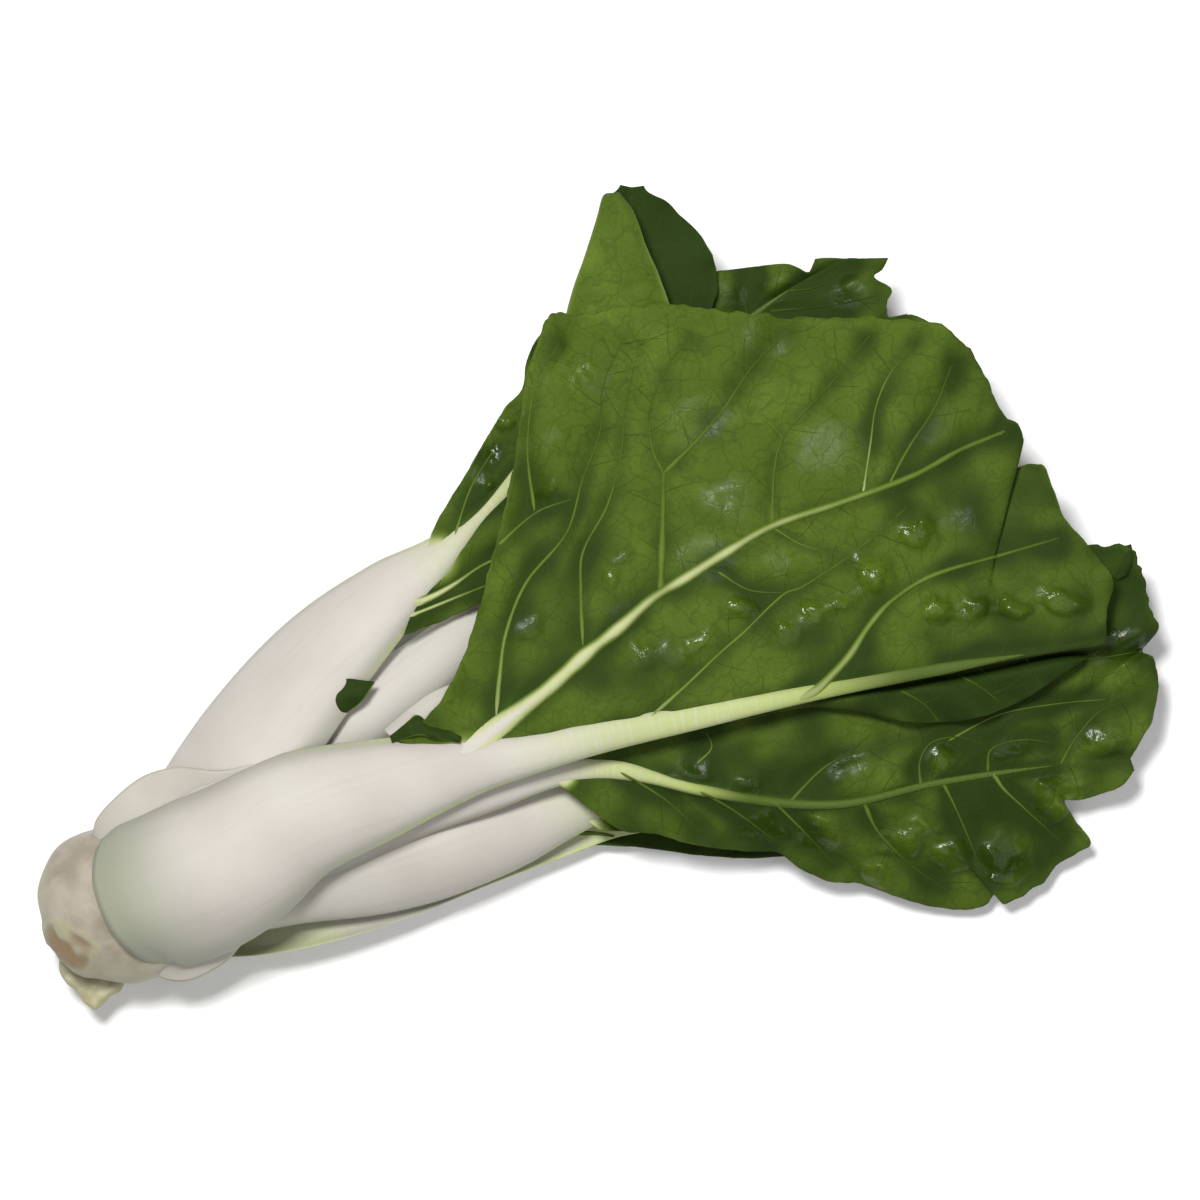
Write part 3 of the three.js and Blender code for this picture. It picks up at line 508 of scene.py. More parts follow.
# Thin pale membranes along the stalks: outer margin, inner margin and height of the bow.
WING_CRUMPLE = 0.25
WINGS = {
    "top": [
        [
            [
                [22.8, 90, 25], [24, 95, 26.5], [28.8, 100.5, 29], [36, 106, 31.5], [44, 108.4, 35],
                [50, 108, 37.4], [56, 107.6, 38.4], [63, 109.2, 39.2], [72, 112, 37.5],
            ],
            [
                [26, 84, 31], [30, 87, 31], [36, 91, 32], [42, 95, 33], [49, 98, 34], [57, 102, 36],
                [64, 106, 37.6], [72, 111.6, 37],
            ],
            0.4,
        ],
        [
            [[37, 57.5, 25], [41, 54.9, 24], [46, 54.4, 23], [52, 56.8, 23.5], [58, 61.4, 25], [67, 74, 30]],
            [[35, 65, 32], [42, 65, 32], [49, 67, 32], [56, 71, 33], [62, 74, 33], [67, 75, 31]],
            0.4,
        ],
        [
            [[96.5, 117.6, 40], [103, 123.2, 40.6], [109, 127.4, 40.6], [116, 130, 39.6]],
            [[98.5, 116, 41.5], [104, 118.5, 42], [110, 120.5, 42], [116, 122, 41]],
            0.6,
        ],
    ],
}

# Heel: where its axis starts, how far that is turned, steps along and round, and its profile as
# distance along the axis and radius. All lengths are in mm.
HEEL_START = (9.3, 70.0, 19.4)
HEEL_TILT = math.radians(10)
HEEL_STEPS = (150, 128)
HEEL_PROFILE = [
    (0, 0), (0.4, 6), (1.5, 9.5), (3.2, 12.5), (6, 15.5), (10, 17.8), (16, 19.5),
    (24, 19.8), (34, 17), (44, 11), (52, 5), (55, 0),
]
HEEL_LOBES, HEEL_LOBE_HEIGHT, HEEL_LOBE_TWIST = 3, 0.5, 0.2
HEEL_CENTRE_SHIFT = (20, 4)

# Sunken patch where the cut has dried: middle, radius, depth, height of its rim, and its wrinkles.
CUT_PATCH = (15.5, 61.0, 30.0)
CUT_PATCH_RADIUS = 8.0
PATCH_DEPTH, PATCH_RIM_HEIGHT = 0.5, 0.35
PATCH_WRINKLE_NOISE, PATCH_WRINKLE_HEIGHT = (0.9, 10), 0.35

# Ragged base of a leaf that was pulled off: outline, height, thickness, and steps round and across.
FLAP_OUTLINE = [
    (13, 60), (13.2, 56), (15, 53), (17.5, 51), (19.2, 48.4), (22.3, 46.3),
    (24.8, 48.2), (26, 49.6), (28.6, 51), (30, 56), (24, 62),
]
FLAP_MIDDLE_Z = 14.0
FLAP_HALF_THICKNESS = 1.9
FLAP_POINTS, FLAP_RINGS = 97, 23


def to_frame(points):
    """Turns millimetres as laid out from above into metres in the part's frame."""
    points = np.asarray(points, dtype=float)
    x, y, z = points[..., 0], points[..., 1], points[..., 2]
    cos, sin = math.cos(LAY_ANGLE), math.sin(LAY_ANGLE)
    turned = [x * cos + y * sin - CENTRE_X, y * cos - x * sin - CENTRE_Y, z]
    return np.stack(turned, axis=-1) * MM


def from_photo(pairs):
    """Turns pixels of the photo into millimetres as laid out from above."""
    pairs = np.asarray(pairs, dtype=float) * PHOTO_MM_PER_PIXEL
    return np.stack([pairs[:, 0], PHOTO_HEIGHT_MM - pairs[:, 1]], axis=-1)


def smooth_step(low, high, value):
    t = np.clip((value - low) / (high - low), 0, 1)
    return t * t * (3 - 2 * t)


def between(ends, share):
    return ends[0] + (ends[1] - ends[0]) * share


def bell(value, middle, width):
    return np.exp(-((value - middle) / width)**2)


def step_lengths(points):
    return np.linalg.norm(np.diff(points, axis=0), axis=1)


def running_length(points):
    return np.concatenate([[0], np.cumsum(step_lengths(points))])


def curve_through(rows, by_row=False):
    """Smooth curve through rows of numbers, from 0 to 1, evenly by length or evenly by row."""
    rows = np.asarray(rows, dtype=float)
    stops = np.arange(len(rows), dtype=float) if by_row else running_length(rows[:, :3])
    before = np.maximum(np.arange(len(rows)) - 1, 0)
    after = np.minimum(np.arange(len(rows)) + 1, len(rows) - 1)
    slopes = (rows[after] - rows[before]) / (stops[after] - stops[before])[:, None]

    def at(u):
        place = np.clip(u, 0, 1) * stops[-1]
        i = np.clip(np.searchsorted(stops, place, side="right") - 1, 0, len(rows) - 2)
        span = (stops[i + 1] - stops[i])[:, None]
        t = ((place - stops[i])[:, None]) / span
        return ((2 * t**3 - 3 * t**2 + 1) * rows[i] + (t**3 - 2 * t**2 + t) * span * slopes[i]
                + (3 * t**2 - 2 * t**3) * rows[i + 1] + (t**3 - t**2) * span * slopes[i + 1])

    return at


def smooth_path(path, count):
    """Finely stepped smooth path through places seen from above."""
    rows = np.column_stack([path, np.zeros(len(path))])
    return curve_through(rows)(np.linspace(0, 1, count))[:, :2]


def path_distance(x, y, path):
    """Distance of each point to a path seen from above, and how far along the path its foot lies."""
    best = np.full(x.shape, FAR)
    along = np.zeros(x.shape)
    lengths = step_lengths(path)
    total = lengths.sum()
    done = 0.0
    for start, end, length in zip(path[:-1], path[1:], lengths):
        step = end - start
        t = np.clip(((x - start[0]) * step[0] + (y - start[1]) * step[1]) / length**2, 0, 1)
        distance = np.hypot(x - start[0] - t * step[0], y - start[1] - t * step[1])
        nearer = distance < best
        best = np.where(nearer, distance, best)
        along = np.where(nearer, (done + t * length) / total, along)
        done += length
    return best, along


def rough(points, scale, seed):
    """Smooth random numbers between about -1 and 1 at points in millimetres."""
    shift = Vector((seed * 13.7, seed * 7.1, seed * 3.3))
    flat = points.reshape(-1, 3) * scale
    values = [noise.noise(Vector(p) + shift) for p in flat]
    return np.array(values).reshape(points.shape[:-1])


def layered(points, layers, start=0):
    """Layers of smooth noise added up, on top of a start."""
    return sum((rough(points, scale, seed) * height for scale, seed, height in layers), start)


def mesh_piece(name, points, faces, node, material, tint=None, flow=None):
    """Makes a mesh object from millimetre points, and puts it in place of a node of the part."""
    mesh = bpy.data.meshes.new(name)
    mesh.from_pydata(to_frame(points).reshape(-1, 3).tolist(), [], faces)
    mesh.validate()
    mesh.shade_smooth()
    if tint is not None:
        layer = mesh.color_attributes.new("tint", "FLOAT_COLOR", "POINT")
        layer.data.foreach_set("color", tint.reshape(-1, 4).astype(np.float32).ravel())
    if flow is not None:
        layer = mesh.uv_layers.new(name="flow")
        corner_vertices = np.empty(len(mesh.loops), dtype=np.int32)
        mesh.loops.foreach_get("vertex_index", corner_vertices)
        layer.data.foreach_set("uv", flow.reshape(-1, 2)[corner_vertices].astype(np.float32).ravel())
    piece = bpy.data.objects.new(name, mesh)
    bpy.context.scene.collection.objects.link(piece)
    piece.data.materials.append(material)
    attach(piece, "root")
    if node:
        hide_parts(node)
    return piece


def grid_normals(grid):
    along = np.gradient(grid, axis=0)
    across = np.gradient(grid, axis=1)
    normal = np.cross(along, across)
    return normal / np.maximum(np.linalg.norm(normal, axis=-1, keepdims=True), 1e-9)


def closed_sheet(grid, half):
    """Points and faces of a thin closed sheet round a grid of points."""
    rows, columns = grid.shape[:2]
    offset = grid_normals(grid) * np.broadcast_to(np.asarray(half, dtype=float), (rows, columns))[..., None]
    points = np.concatenate([(grid - offset).reshape(-1, 3), (grid + offset).reshape(-1, 3)])
    count = rows * columns
    index = np.arange(count).reshape(rows, columns)
    a, b, c, d = index[:-1, :-1], index[:-1, 1:], index[1:, 1:], index[1:, :-1]
    face = np.stack([a, b, c, d], axis=-1).reshape(-1, 4)
    rim = np.concatenate([index[0, :], index[1:, -1], index[-1, -2::-1], index[-2:0:-1, 0]])
    following = np.roll(rim, -1)
    side = np.stack([rim, following, following + count, rim + count], axis=-1)
    faces = np.concatenate([face, face[:, ::-1] + count, side[:, ::-1]])
    return points, faces.tolist()


def tube_faces(rings, count, turn=1, ends=True):
    """Faces between rings of points, and the two ends. A turn of -1 makes them face the other way."""
    ring = np.arange(count)
    following = np.roll(ring, -1)
    corners = [ring, following, following + count, ring + count]
    quads = np.stack(corners if turn == 1 else [corners[i] for i in (0, 3, 2, 1)], axis=-1)
    faces = []
    for i in range(rings - 1):
        faces += (quads + i * count).tolist()
    if ends:
        faces.append(ring[::-turn].tolist())
        faces.append(((rings - 1) * count + ring[::turn]).tolist())
    return faces


def join_parts(parts):
    """Puts several lists of points, faces and colours together as one mesh."""
    points, faces, tints = [], [], []
    count = 0
    for part_points, part_faces, part_tints in parts:
        points.append(part_points)
        tints.append(part_tints)
        faces += [[int(i) + count for i in face] for face in part_faces]
        count += len(part_points)
    return np.concatenate(points), faces, np.concatenate(tints)


def blade_surface(leaf, along, across):
    """Grid of the blade: rows run from base to tip, columns from left margin over midrib to right."""
    u = np.linspace(0, 1, along + 1)
    s = np.linspace(-1, 1, 2 * across + 1)
    rib = [[x, y, z - thick / 2] for x, y, z, _, _, thick, _, _ in leaf["stalk"][leaf["from"]:]]
    middle = curve_through(rib + [leaf["tip"]])(u)
    left = curve_through(leaf["left"], True)(u)
    right = curve_through(leaf["right"], True)(u)
    t = np.abs(s)[None, :, None]
    edge = np.where(s[None, :, None] < 0, left[:, None, :], right[:, None, :])
    grid = middle[:, None, :] + (edge - middle[:, None, :]) * t
    height, count, phase = leaf["wave"]
    wave = height * t[..., 0]**2 * np.sin(2 * np.pi * count * u[:, None] + phase + s[None, :])
    swell = np.sin(grid[..., 0] * SWELL_RATE_X + SWELL_START) * np.sin(grid[..., 1] * SWELL_RATE_Y)
    swell = swell * np.sin(np.pi * t[..., 0])
    grid[..., 2] += wave + leaf["blisters"] * swell * SWELL_SHARE
    return grid, s


def hidden_ribs(grid):
    """Side ribs set out by rule, for blades that the photo does not show."""
    rows, columns = grid.shape[:2]
    middle = columns // 2
    drawn = []
    for share in HIDDEN_RIB_STARTS:
        start = int(rows * share)
        end = min(int(start + rows * HIDDEN_RIB_RUN), rows - 1)
        for side in (LEFT_SIDE, RIGHT_SIDE):
            path = [
                grid[int(start + (end - start) * reach**HIDDEN_RIB_BOW), middle + int(side * middle * reach)]
                for reach in HIDDEN_RIB_REACH
            ]
            drawn.append([side, *HIDDEN_RIB_SIZES, np.array(path)[:, :2]])
    return drawn


def blade_ribs(name, grid):
    """Ribs of a blade as in the table of ribs, with finely stepped paths in mm."""
    drawn = [[*row[:4], from_photo(row[4])] for row in RIB_PIXELS[name]]
    smooth = []
    for *sizes, path in drawn or hidden_ribs(grid):
        count = max(int(step_lengths(path).sum() / RIB_STEP), RIB_LEAST_POINTS)
        smooth.append([*sizes, smooth_path(path, count)])
    return smooth


def branches(leaf, ribs):
    """Thin veins that leave the ribs and the midrib on both sides, a little bent, from a seeded draw."""
    draw = np.random.default_rng(BRANCH_SEED)
    midrib = curve_through(leaf["stalk"][leaf["from"] + 1:])(np.linspace(0, 1, MIDRIB_POINTS))[:, :2]
    thin = []
    for line in [rib[4] for rib in ribs] + [midrib]:
        length = running_length(line)
        side = 1
        place = BRANCH_SPACING * draw.uniform(*BRANCH_FIRST_RANGE)
        while place < length[-1] - 1:
            i = min(int(np.searchsorted(length, place)), len(line) - 2)
            ahead = line[i + 1] - line[i]
            heading = math.atan2(ahead[1], ahead[0]) + side * BRANCH_ANGLE * draw.uniform(*BRANCH_ANGLE_RANGE)
            reach = draw.uniform(*BRANCH_REACH)
            bend = draw.uniform(-BRANCH_BEND, BRANCH_BEND)
            points = [line[i].copy()]
            for _ in range(BRANCH_STEPS):
                heading += bend + draw.uniform(-BRANCH_WANDER, BRANCH_WANDER)
                step = np.array([math.cos(heading), math.sin(heading)]) * reach / BRANCH_STEPS
                points.append(points[-1] + step)
            thin.append(np.array(points))
            side = -side
            place += BRANCH_SPACING * draw.uniform(*BRANCH_NEXT_RANGE)
    return thin


def lay_vein(tree, last_face, path, sizes, columns, crease, shade):
    """Low strip along a path, laid on the faces below it up to a last one; None where they are missing."""
    widths, heights, tones = sizes
    ahead = np.gradient(path, axis=0)
    ahead /= np.maximum(np.linalg.norm(ahead, axis=1, keepdims=True), TINY)
    aside = np.column_stack([-ahead[:, 1], ahead[:, 0]])
    points = []
    tints = []
    for i, place in enumerate(path):
        t = i / (len(path) - 1)
        patchy = noise.noise(Vector((place[0] * PATCHY_SCALE, place[1] * PATCHY_SCALE, PATCHY_LAYER)))
        root = min(1.0, 0.55 + t * 12)
        half = between(widths, t**TAPER_POWER) / 2 * root * (1 + PATCHY_WIDTH * patchy)
        height = between(heights, t) * min(1.0, (1 - t) * 6 + 0.1, t * 7)
        tone = between(tones, t**TONE_POWER) * (1 + PATCHY_TONE * patchy * min(1.0, t * 3))
        row = []
        row_tints = []
        for k in range(columns):
            x = 2 * k / (columns - 1) - 1
            spot = place + aside[i] * half * x
            hit, _, face, _ = tree.ray_cast(Vector((spot[0], spot[1], ABOVE_ALL)), Vector((0, 0, -1)))
            if hit is None or face >= last_face:
                break
            rise = (height + VEIN_SINK) * (1 - x * x) - VEIN_SINK
            row.append([spot[0], spot[1], hit.z + rise])
            fade = 1 - x * x * (1 if t > VEIN_FADE_START else t / VEIN_FADE_START)
            row_tints.append([tone * fade, crease * (1 - x * x), shade, 0.0])
        levels = [spot[2] for spot in row]
        if len(row) < columns or max(levels) - min(levels) > height + VEIN_SLOPE:
            if points:
                break
            continue
        points.append(row)
        tints += row_tints
    if len(points) < VEIN_LEAST_ROWS:
        return None
    index = np.arange(len(points) * columns).reshape(len(points), columns)
    faces = np.stack([index[:-1, :-1], index[1:, :-1], index[1:, 1:], index[:-1, 1:]], axis=-1)
    return np.array(points).reshape(-1, 3), faces.reshape(-1, 4), np.array(tints)


def rib_relief(x, y, sides, ribs):
    """Distance to the nearest rib, rise of the blade beside each rib, and the painted shade of the crease
    along it.
    """
    nearest = np.full(x.shape, FAR)
    shoulder = np.zeros(x.shape)
    crease = np.zeros(x.shape)
    for side, widths, _, _, path in ribs:
        distance, along = path_distance(x, y, path[::RIB_STRIDE])
        mine = smooth_step(-0.02, 0.04, sides * side)
        half = between(widths, along**TAPER_POWER) / 2
        rise = bell(distance, 0, half + SHOULDER_REACH) * widths[0] * SHOULDER_SHARE
        shoulder = np.maximum(shoulder, rise * mine)
        crease = np.maximum(crease, bell(distance - half, *CREASE_SHADE_BELL) * mine * CREASE_SHADE_STRENGTH)
        nearest = np.where(mine > 0.5, np.minimum(nearest, distance), nearest)
    return nearest, shoulder, crease


def blister_relief(name, grid, sides, crease):
    """Height and shine of the blisters, and the crease with a faint dark ring of painted shade round each."""
    bumps = np.zeros(sides.shape)
    shine = np.zeros(sides.shape)
    bent_x = layered(grid, BLISTER_BEND_X, grid[..., 0])
    bent_y = layered(grid, BLISTER_BEND_Y, grid[..., 1])
    crumple = layered(grid, BLISTER_CRUMPLE, BLISTER_FULLNESS)
    for bx, by, radius, height in BLISTER_PIXELS[name]:
        (cx, cy), = from_photo([(bx, by)])
        spot = np.hypot(bent_x - cx, (bent_y - cy) * BLISTER_STRETCH) / (radius * BLISTER_REACH)
        dome = np.exp(-spot**BLISTER_BLUNTNESS) * crumple - MOAT_DEPTH * bell(spot, *MOAT_BELL)
        mine = smooth_step(0.03, -0.03, sides) if name == "top" else 1
        bumps += height * dome * mine
        strength = min(height, BLISTER_FULL_HEIGHT) / 2
        shine = np.maximum(shine, strength * smooth_step(1.3, 0.6, spot) * mine)
        crease = np.maximum(crease, strength * RING_SHADE_STRENGTH * bell(spot, *RING_SHADE_BELL) * mine)
    return bumps, shine, crease


def blade_relief(name, leaf, grid, s, ribs):
    """Quilts, blisters and ruffles the sheet; returns the colours that go with them, painted shade among
    them.
    """
    x, y = grid[..., 0].copy(), grid[..., 1].copy()
    sides = np.broadcast_to(s[None, :], x.shape)
    margin = np.abs(sides)
    u = np.linspace(0, 1, grid.shape[0])[:, None]
    nearest, shoulder, crease = rib_relief(x, y, sides, ribs)
    bumps, shine, crease = blister_relief(name, grid, sides, crease)
    middle = grid.shape[1] // 2
    spine = np.hypot(x - x[:, middle:middle + 1], y - y[:, middle:middle + 1])
    nearest = np.minimum(nearest, spine)
    rib_rise = bell(spine, *MIDRIB_BELL) * (1 - u)
    quilt = QUILT_HEIGHT * (1 - bell(nearest, *QUILT_BELL))
    waves = layered(grid, BLADE_WAVES)
    ruffle = layered(grid, RUFFLE) * margin**5 + layered(grid, FINE_RUFFLE) * margin**8
    calm = 1 - bell(nearest, *CALM_BELL)
    grid[..., 2] += shoulder + rib_rise + quilt + (bumps + waves) * calm + ruffle
    if name == "top":
        deeper = DITCH_NEAR + DITCH_FAR * smooth_step(*DITCH_FAR_X, x)
        ditch = DITCH_DEPTH + deeper * bell(spine, *DITCH_BELL)
        grid[..., 2] -= ditch * smooth_step(0.7, 1.9, spine) * (sides > 0) * smooth_step(0.2, 0.4, u)
    tone = layered(grid, BLADE_TONES, BLADE_TONE + BLADE_SHADE[name]) + BUMP_TONE * bumps
    # Painted shade in the hollows beside the ribs and painted light on the raised cells between them.
    tone += QUILT_TONE * (quilt - QUILT_TONE_LEVEL)
    if name == "top":
        # Painted shade on the lower half of the blade, folded down under the midrib, darkest in a band beside
        # the midrib.
        tone -= (0.22 + 0.5 * bell(spine, 0, 2.6)) * smooth_step(0.8, 1.6, spine) * (sides > 0)
        tone -= 0.22 * smooth_step(212, 248, x)
    if name == "left":
        # The back of the folded tip is darker: partly its darker upper side, partly painted shade under the
        # front fold.
        tone -= 0.9 * smooth_step(218, 224, y)
    start = leaf["stalk"][leaf["from"]]
    near_base = smooth_step(BASE_PALE_REACH[name], 2, np.hypot(x - start[0], y - start[1]))
    pale = smooth_step(0.975, 1.0, margin) * 0.12 + bell(spine, 0, 2.2) * 0.22 * (1 - u * 0.7)
    pale = np.maximum(pale, near_base * 0.95)
    return np.clip(np.stack([pale, crease, tone, shine], axis=-1), 0, 1)


def fold_sheet(left, right, bow, tone, rim, crumple):
    """Small curled piece of blade between two margins."""
    along, across = FOLD_STEPS
    left = curve_through(left, True)(np.linspace(0, 1, along + 1))
    right = curve_through(right, True)(np.linspace(0, 1, along + 1))
    t = np.linspace(0, 1, across + 1)[None, :, None]
    grid = left[:, None, :] * (1 - t) + right[:, None, :] * t
    grid[..., 2] += bow * np.sin(np.pi * t[..., 0]) + rough(grid, *FOLD_NOISE) * crumple
    edge = np.abs(2 * t[..., 0] - 1) * np.ones(grid.shape[:2])
    pale = smooth_step(FOLD_RIM, 1.0, edge) * rim
    shades = np.clip(layered(grid, FOLD_TONES, tone), 0, 1)
    tint = np.stack(np.broadcast_arrays(pale, 0.0, shades, FOLD_SHINE), axis=-1)
    points, faces = closed_sheet(grid, BLADE_HALF_THICKNESS)
    return points, faces, np.concatenate([tint.reshape(-1, 4)] * 2)


def make_blade(name, leaf, material):
    """Ruffled blade with its raised ribs, their branches and its small folds."""
    along, across = leaf["grid"]
    grid, s = blade_surface(leaf, along, across)
    ribs = blade_ribs(name, grid)
    tint = blade_relief(name, leaf, grid, s, ribs)
    edge = np.abs(s)[None, :]
    nicks = layered(grid, MARGIN_NICKS)
    middle = grid[:, across:across + 1, :]
    near_tip = smooth_step(TIP_ROUNDING_START, 1.0, np.linspace(0, 1, along + 1))[:, None]
    rounding = 1 - TIP_ROUNDING[name] * near_tip**2
    grid = middle + (grid - middle) * (rounding * (1 + nicks * edge**10))[..., None]
    points, faces = closed_sheet(grid, BLADE_HALF_THICKNESS * (1 - MARGIN_THINNING * edge**12))
    points[:, 2] = np.maximum(points[:, 2], FLOOR_GAP)
    stalk_points, stalk_faces = stalk_shape(name, leaf)[:2]
    stalk_points = stalk_points.reshape(-1, 3)
    ground = join_parts([(points, faces, points), (stalk_points, stalk_faces, stalk_points)])
    tree = BVHTree.FromPolygons(ground[0].tolist(), ground[1])
    parts = [(points, faces, np.concatenate([tint.reshape(-1, 4)] * 2))]
    shade = RIB_TONE + BLADE_SHADE[name]
    for _, *sizes, path in ribs:
        parts.append(lay_vein(tree, len(ground[1]), path, sizes, VEIN_COLUMNS, VEIN_CREASE, shade))
    shade -= BRANCH_DARKER
    for path in branches(leaf, ribs):
        parts.append(lay_vein(tree, len(faces), path, BRANCH_SIZES, BRANCH_COLUMNS, BRANCH_CREASE, shade))
    for fold in FOLDS.get(name, []):
        parts.append(fold_sheet(**fold))
    points, faces, tints = join_parts([part for part in parts if part is not None])
    points[:, 2] = np.maximum(points[:, 2], FLOOR_GAP)
    node = f"{name}_leaf_blade"
    return mesh_piece(f"fine_{node}", points, faces, node, material, tint=tints)


def stalk_shape(name, leaf):
    """Crescent stalk with rounded margins, thinning out into the midrib."""
    u = np.linspace(0, 1, STALK_RINGS + 1)
    data = curve_through(leaf["stalk"])(u)
    crest = data[:, :3]
    width, arch, thick, roll, green = data[:, 3:].T
    green = np.clip(green * EARLY_GREEN[name], 0, 1)
    width = width * (1 - SLIM[name] * smooth_step(0.05, 0.6, green))
    tail = 1 - TAIL_SHRINK * smooth_step(TAIL_START, 1.0, u)
    width = width * tail
    crest[:, 2] -= thick * (1 - tail) * TAIL_SINK
    thick = thick * tail
    tangent = np.gradient(crest, axis=0)
    tangent /= np.linalg.norm(tangent, axis=1, keepdims=True)
    left = np.cross([0, 0, 1], tangent)
    left /= np.linalg.norm(left, axis=1, keepdims=True)
    above = np.cross(tangent, left)
    lean = np.radians(roll)[:, None]
    outer = above * np.cos(lean) + left * np.sin(lean)
    side = left * np.cos(lean) - above * np.sin(lean)
    angle = np.linspace(0, 2 * np.pi, STALK_SIDES, endpoint=False)
    s = np.cos(angle)[None, :]
    edge = np.minimum(STALK_EDGE, thick * 0.5)[:, None]
    depth = edge + (thick[:, None] - edge) * (1 - s**2)
    half = depth / 2 * np.sqrt(np.clip(1 - s**8, 0, 1)) * np.sign(np.sin(angle))[None, :]
    across = s * width[:, None] / 2
    bend = s**2 * (1 - STALK_FLATTER) + s**4 * STALK_FLATTER
    drop = -arch[:, None] * bend - depth / 2 + half
    points = crest[:, None, :] + side[:, None, :] * across[..., None] + outer[:, None, :] * drop[..., None]
    points = points + outer[:, None, :] * layered(points, STALK_UNEVENNESS)[..., None]
    points[..., 2] = np.maximum(points[..., 2], FLOOR_GAP)
    return points, tube_faces(STALK_RINGS + 1, STALK_SIDES), crest, green, s, across


def make_stalk(name, leaf, material):
    """White stalk with its midrib and any thin membranes along it."""
    points, faces, crest, green, s, across = stalk_shape(name, leaf)
    blade_start = step_lengths(np.array(leaf["stalk"])[:leaf["from"] + 1, :3]).sum()
    length = running_length(crest)
    near_heel = smooth_step(*NEAR_HEEL, length)
    lime = smooth_step(blade_start - LIME_BEFORE, blade_start, length)[:, None]
    lime = lime * smooth_step(*LIME_MARGIN, np.abs(s))
    lime = lime * smooth_step(blade_start + LIME_AFTER, blade_start, length)[:, None]
    root = ROOT_LIME.get(name, 0) * smooth_step(*ROOT_LIME_REACH, length)[:, None]
    greenness = np.clip(green[:, None] + LIME_STRENGTH * lime + root, 0, 1)
    tint = np.stack(np.broadcast_arrays(greenness, np.abs(s), near_heel[:, None], 1.0), axis=-1)
    flow = [length[:, None] * MM * FLOW_SCALE, across * MM * FLOW_SCALE + 0.5]
    parts = [(points.reshape(-1, 3), faces, tint.reshape(-1, 4))]
    flows = [np.stack(np.broadcast_arrays(*flow), axis=-1).reshape(-1, 2)]
    for outer_rows, inner_rows, bow in WINGS.get(name, []):
        points, faces, shades = fold_sheet(outer_rows, inner_rows, bow, 0.5, 1.0, WING_CRUMPLE)
        plain = np.ones(len(shades))
        tint = np.column_stack([plain * 0.03, np.maximum(shades[:, 0], 0.8), plain * 0, plain])
        parts.append((points, faces, tint))
        flows.append(points[:, :2] * MM * FLOW_SCALE)
    points, faces, tints = join_parts(parts)
    node = f"{name}_leaf_stalk"
    return mesh_piece(f"fine_{node}", points, faces, node, material, tint=tints,
                      flow=np.concatenate(flows))


def make_heel(material):
    """Short stem: a lumpy dome with a dried cut, and the ragged base of a leaf that was pulled off."""
    along, around = HEEL_STEPS
    profile = curve_through([[d, r, 0] for d, r in HEEL_PROFILE])(np.linspace(0, 1, along + 1))
    angle = np.linspace(0, 2 * np.pi, around, endpoint=False)
    distance = profile[:, 0:1]
    lobes = np.sin(HEEL_LOBES * angle[None, :] + distance * HEEL_LOBE_TWIST)
    radius = np.maximum(profile[:, 1:2], 0.02) + HEEL_LOBE_HEIGHT * lobes
    radius = np.maximum(radius, 0.01) * np.minimum(1, profile[:, 1:2] / 3 + 0.001)
    cos, sin = math.cos(HEEL_TILT), math.sin(HEEL_TILT)
    out = radius * np.cos(angle)[None, :]
    x = HEEL_START[0] + distance * cos - out * sin
    y = HEEL_START[1] + distance * sin + out * cos
    z = HEEL_START[2] + radius * np.sin(angle)[None, :]
    points = np.stack([x, y, z], axis=-1)
    points[..., 2] = np.maximum(points[..., 2], FLOOR_GAP)
    patch = np.linalg.norm((points - np.array(CUT_PATCH)) * [1, 1, 0.6], axis=-1)
    ragged = layered(points, PATCH_RAGGEDNESS, patch)
    brown = smooth_step(CUT_PATCH_RADIUS, CUT_PATCH_RADIUS * 0.45, ragged)
    rim = smooth_step(CUT_PATCH_RADIUS * 0.7, CUT_PATCH_RADIUS * 0.95, ragged)
    rim = rim * smooth_step(CUT_PATCH_RADIUS * 1.35, CUT_PATCH_RADIUS, ragged)
    shift_x, shift_y = HEEL_CENTRE_SHIFT
    centre = np.array([HEEL_START[0] + shift_x, HEEL_START[1] + shift_y, HEEL_START[2]])
    outward = points - centre
    outward /= np.maximum(np.linalg.norm(outward, axis=-1, keepdims=True), 1e-6)
    push = layered(points, HEEL_LUMPS) + rim * PATCH_RIM_HEIGHT - brown * PATCH_DEPTH
    push = push + brown * rough(points, *PATCH_WRINKLE_NOISE) * PATCH_WRINKLE_HEIGHT
    points = points + outward * push[..., None]
    points[..., 2] = np.maximum(points[..., 2], FLOOR_GAP)
    olive = np.clip(smooth_step(64, 54, y) * 0.5 + smooth_step(13, 9.5, x) * 0.7, 0, 1)
    tint = np.stack([brown, olive, rim, np.ones(rim.shape)], axis=-1)
    faces = tube_faces(along + 1, around, turn=-1)
    points, faces, tints = join_parts([(points.reshape(-1, 3), faces, tint.reshape(-1, 4)), flap_parts()])
    return mesh_piece("fine_heel", points, faces, "heel", material, tint=tints)


def flap_parts():
    """Ragged tongue: rings of its outline shrink to the middle and bulge."""
    outline = np.array(FLAP_OUTLINE, dtype=float)
    fine = smooth_path(np.vstack([outline, outline[:1]]), FLAP_POINTS)[:-1]
    centre = outline.mean(axis=0)
    rings = []
    for turn in np.linspace(0.001, np.pi - 0.001, FLAP_RINGS):
        height = np.sign(np.cos(turn)) * FLAP_HALF_THICKNESS * abs(np.cos(turn))**0.5
        flat = centre + (fine - centre) * np.sin(turn)
        rings.append(np.column_stack([flat, np.full(len(flat), FLAP_MIDDLE_Z + height)]))
    points = np.concatenate(rings)
    points[:, 2] += layered(points, FLAP_WRINKLES)
    ragged = smooth_step(56, 47, points[:, 1])
    tint = np.column_stack([ragged * 0.15, 0.55 + 0.45 * ragged, ragged * 0, np.ones(len(points))])
    return points, tube_faces(len(rings), len(fine), turn=-1, ends=False), tint


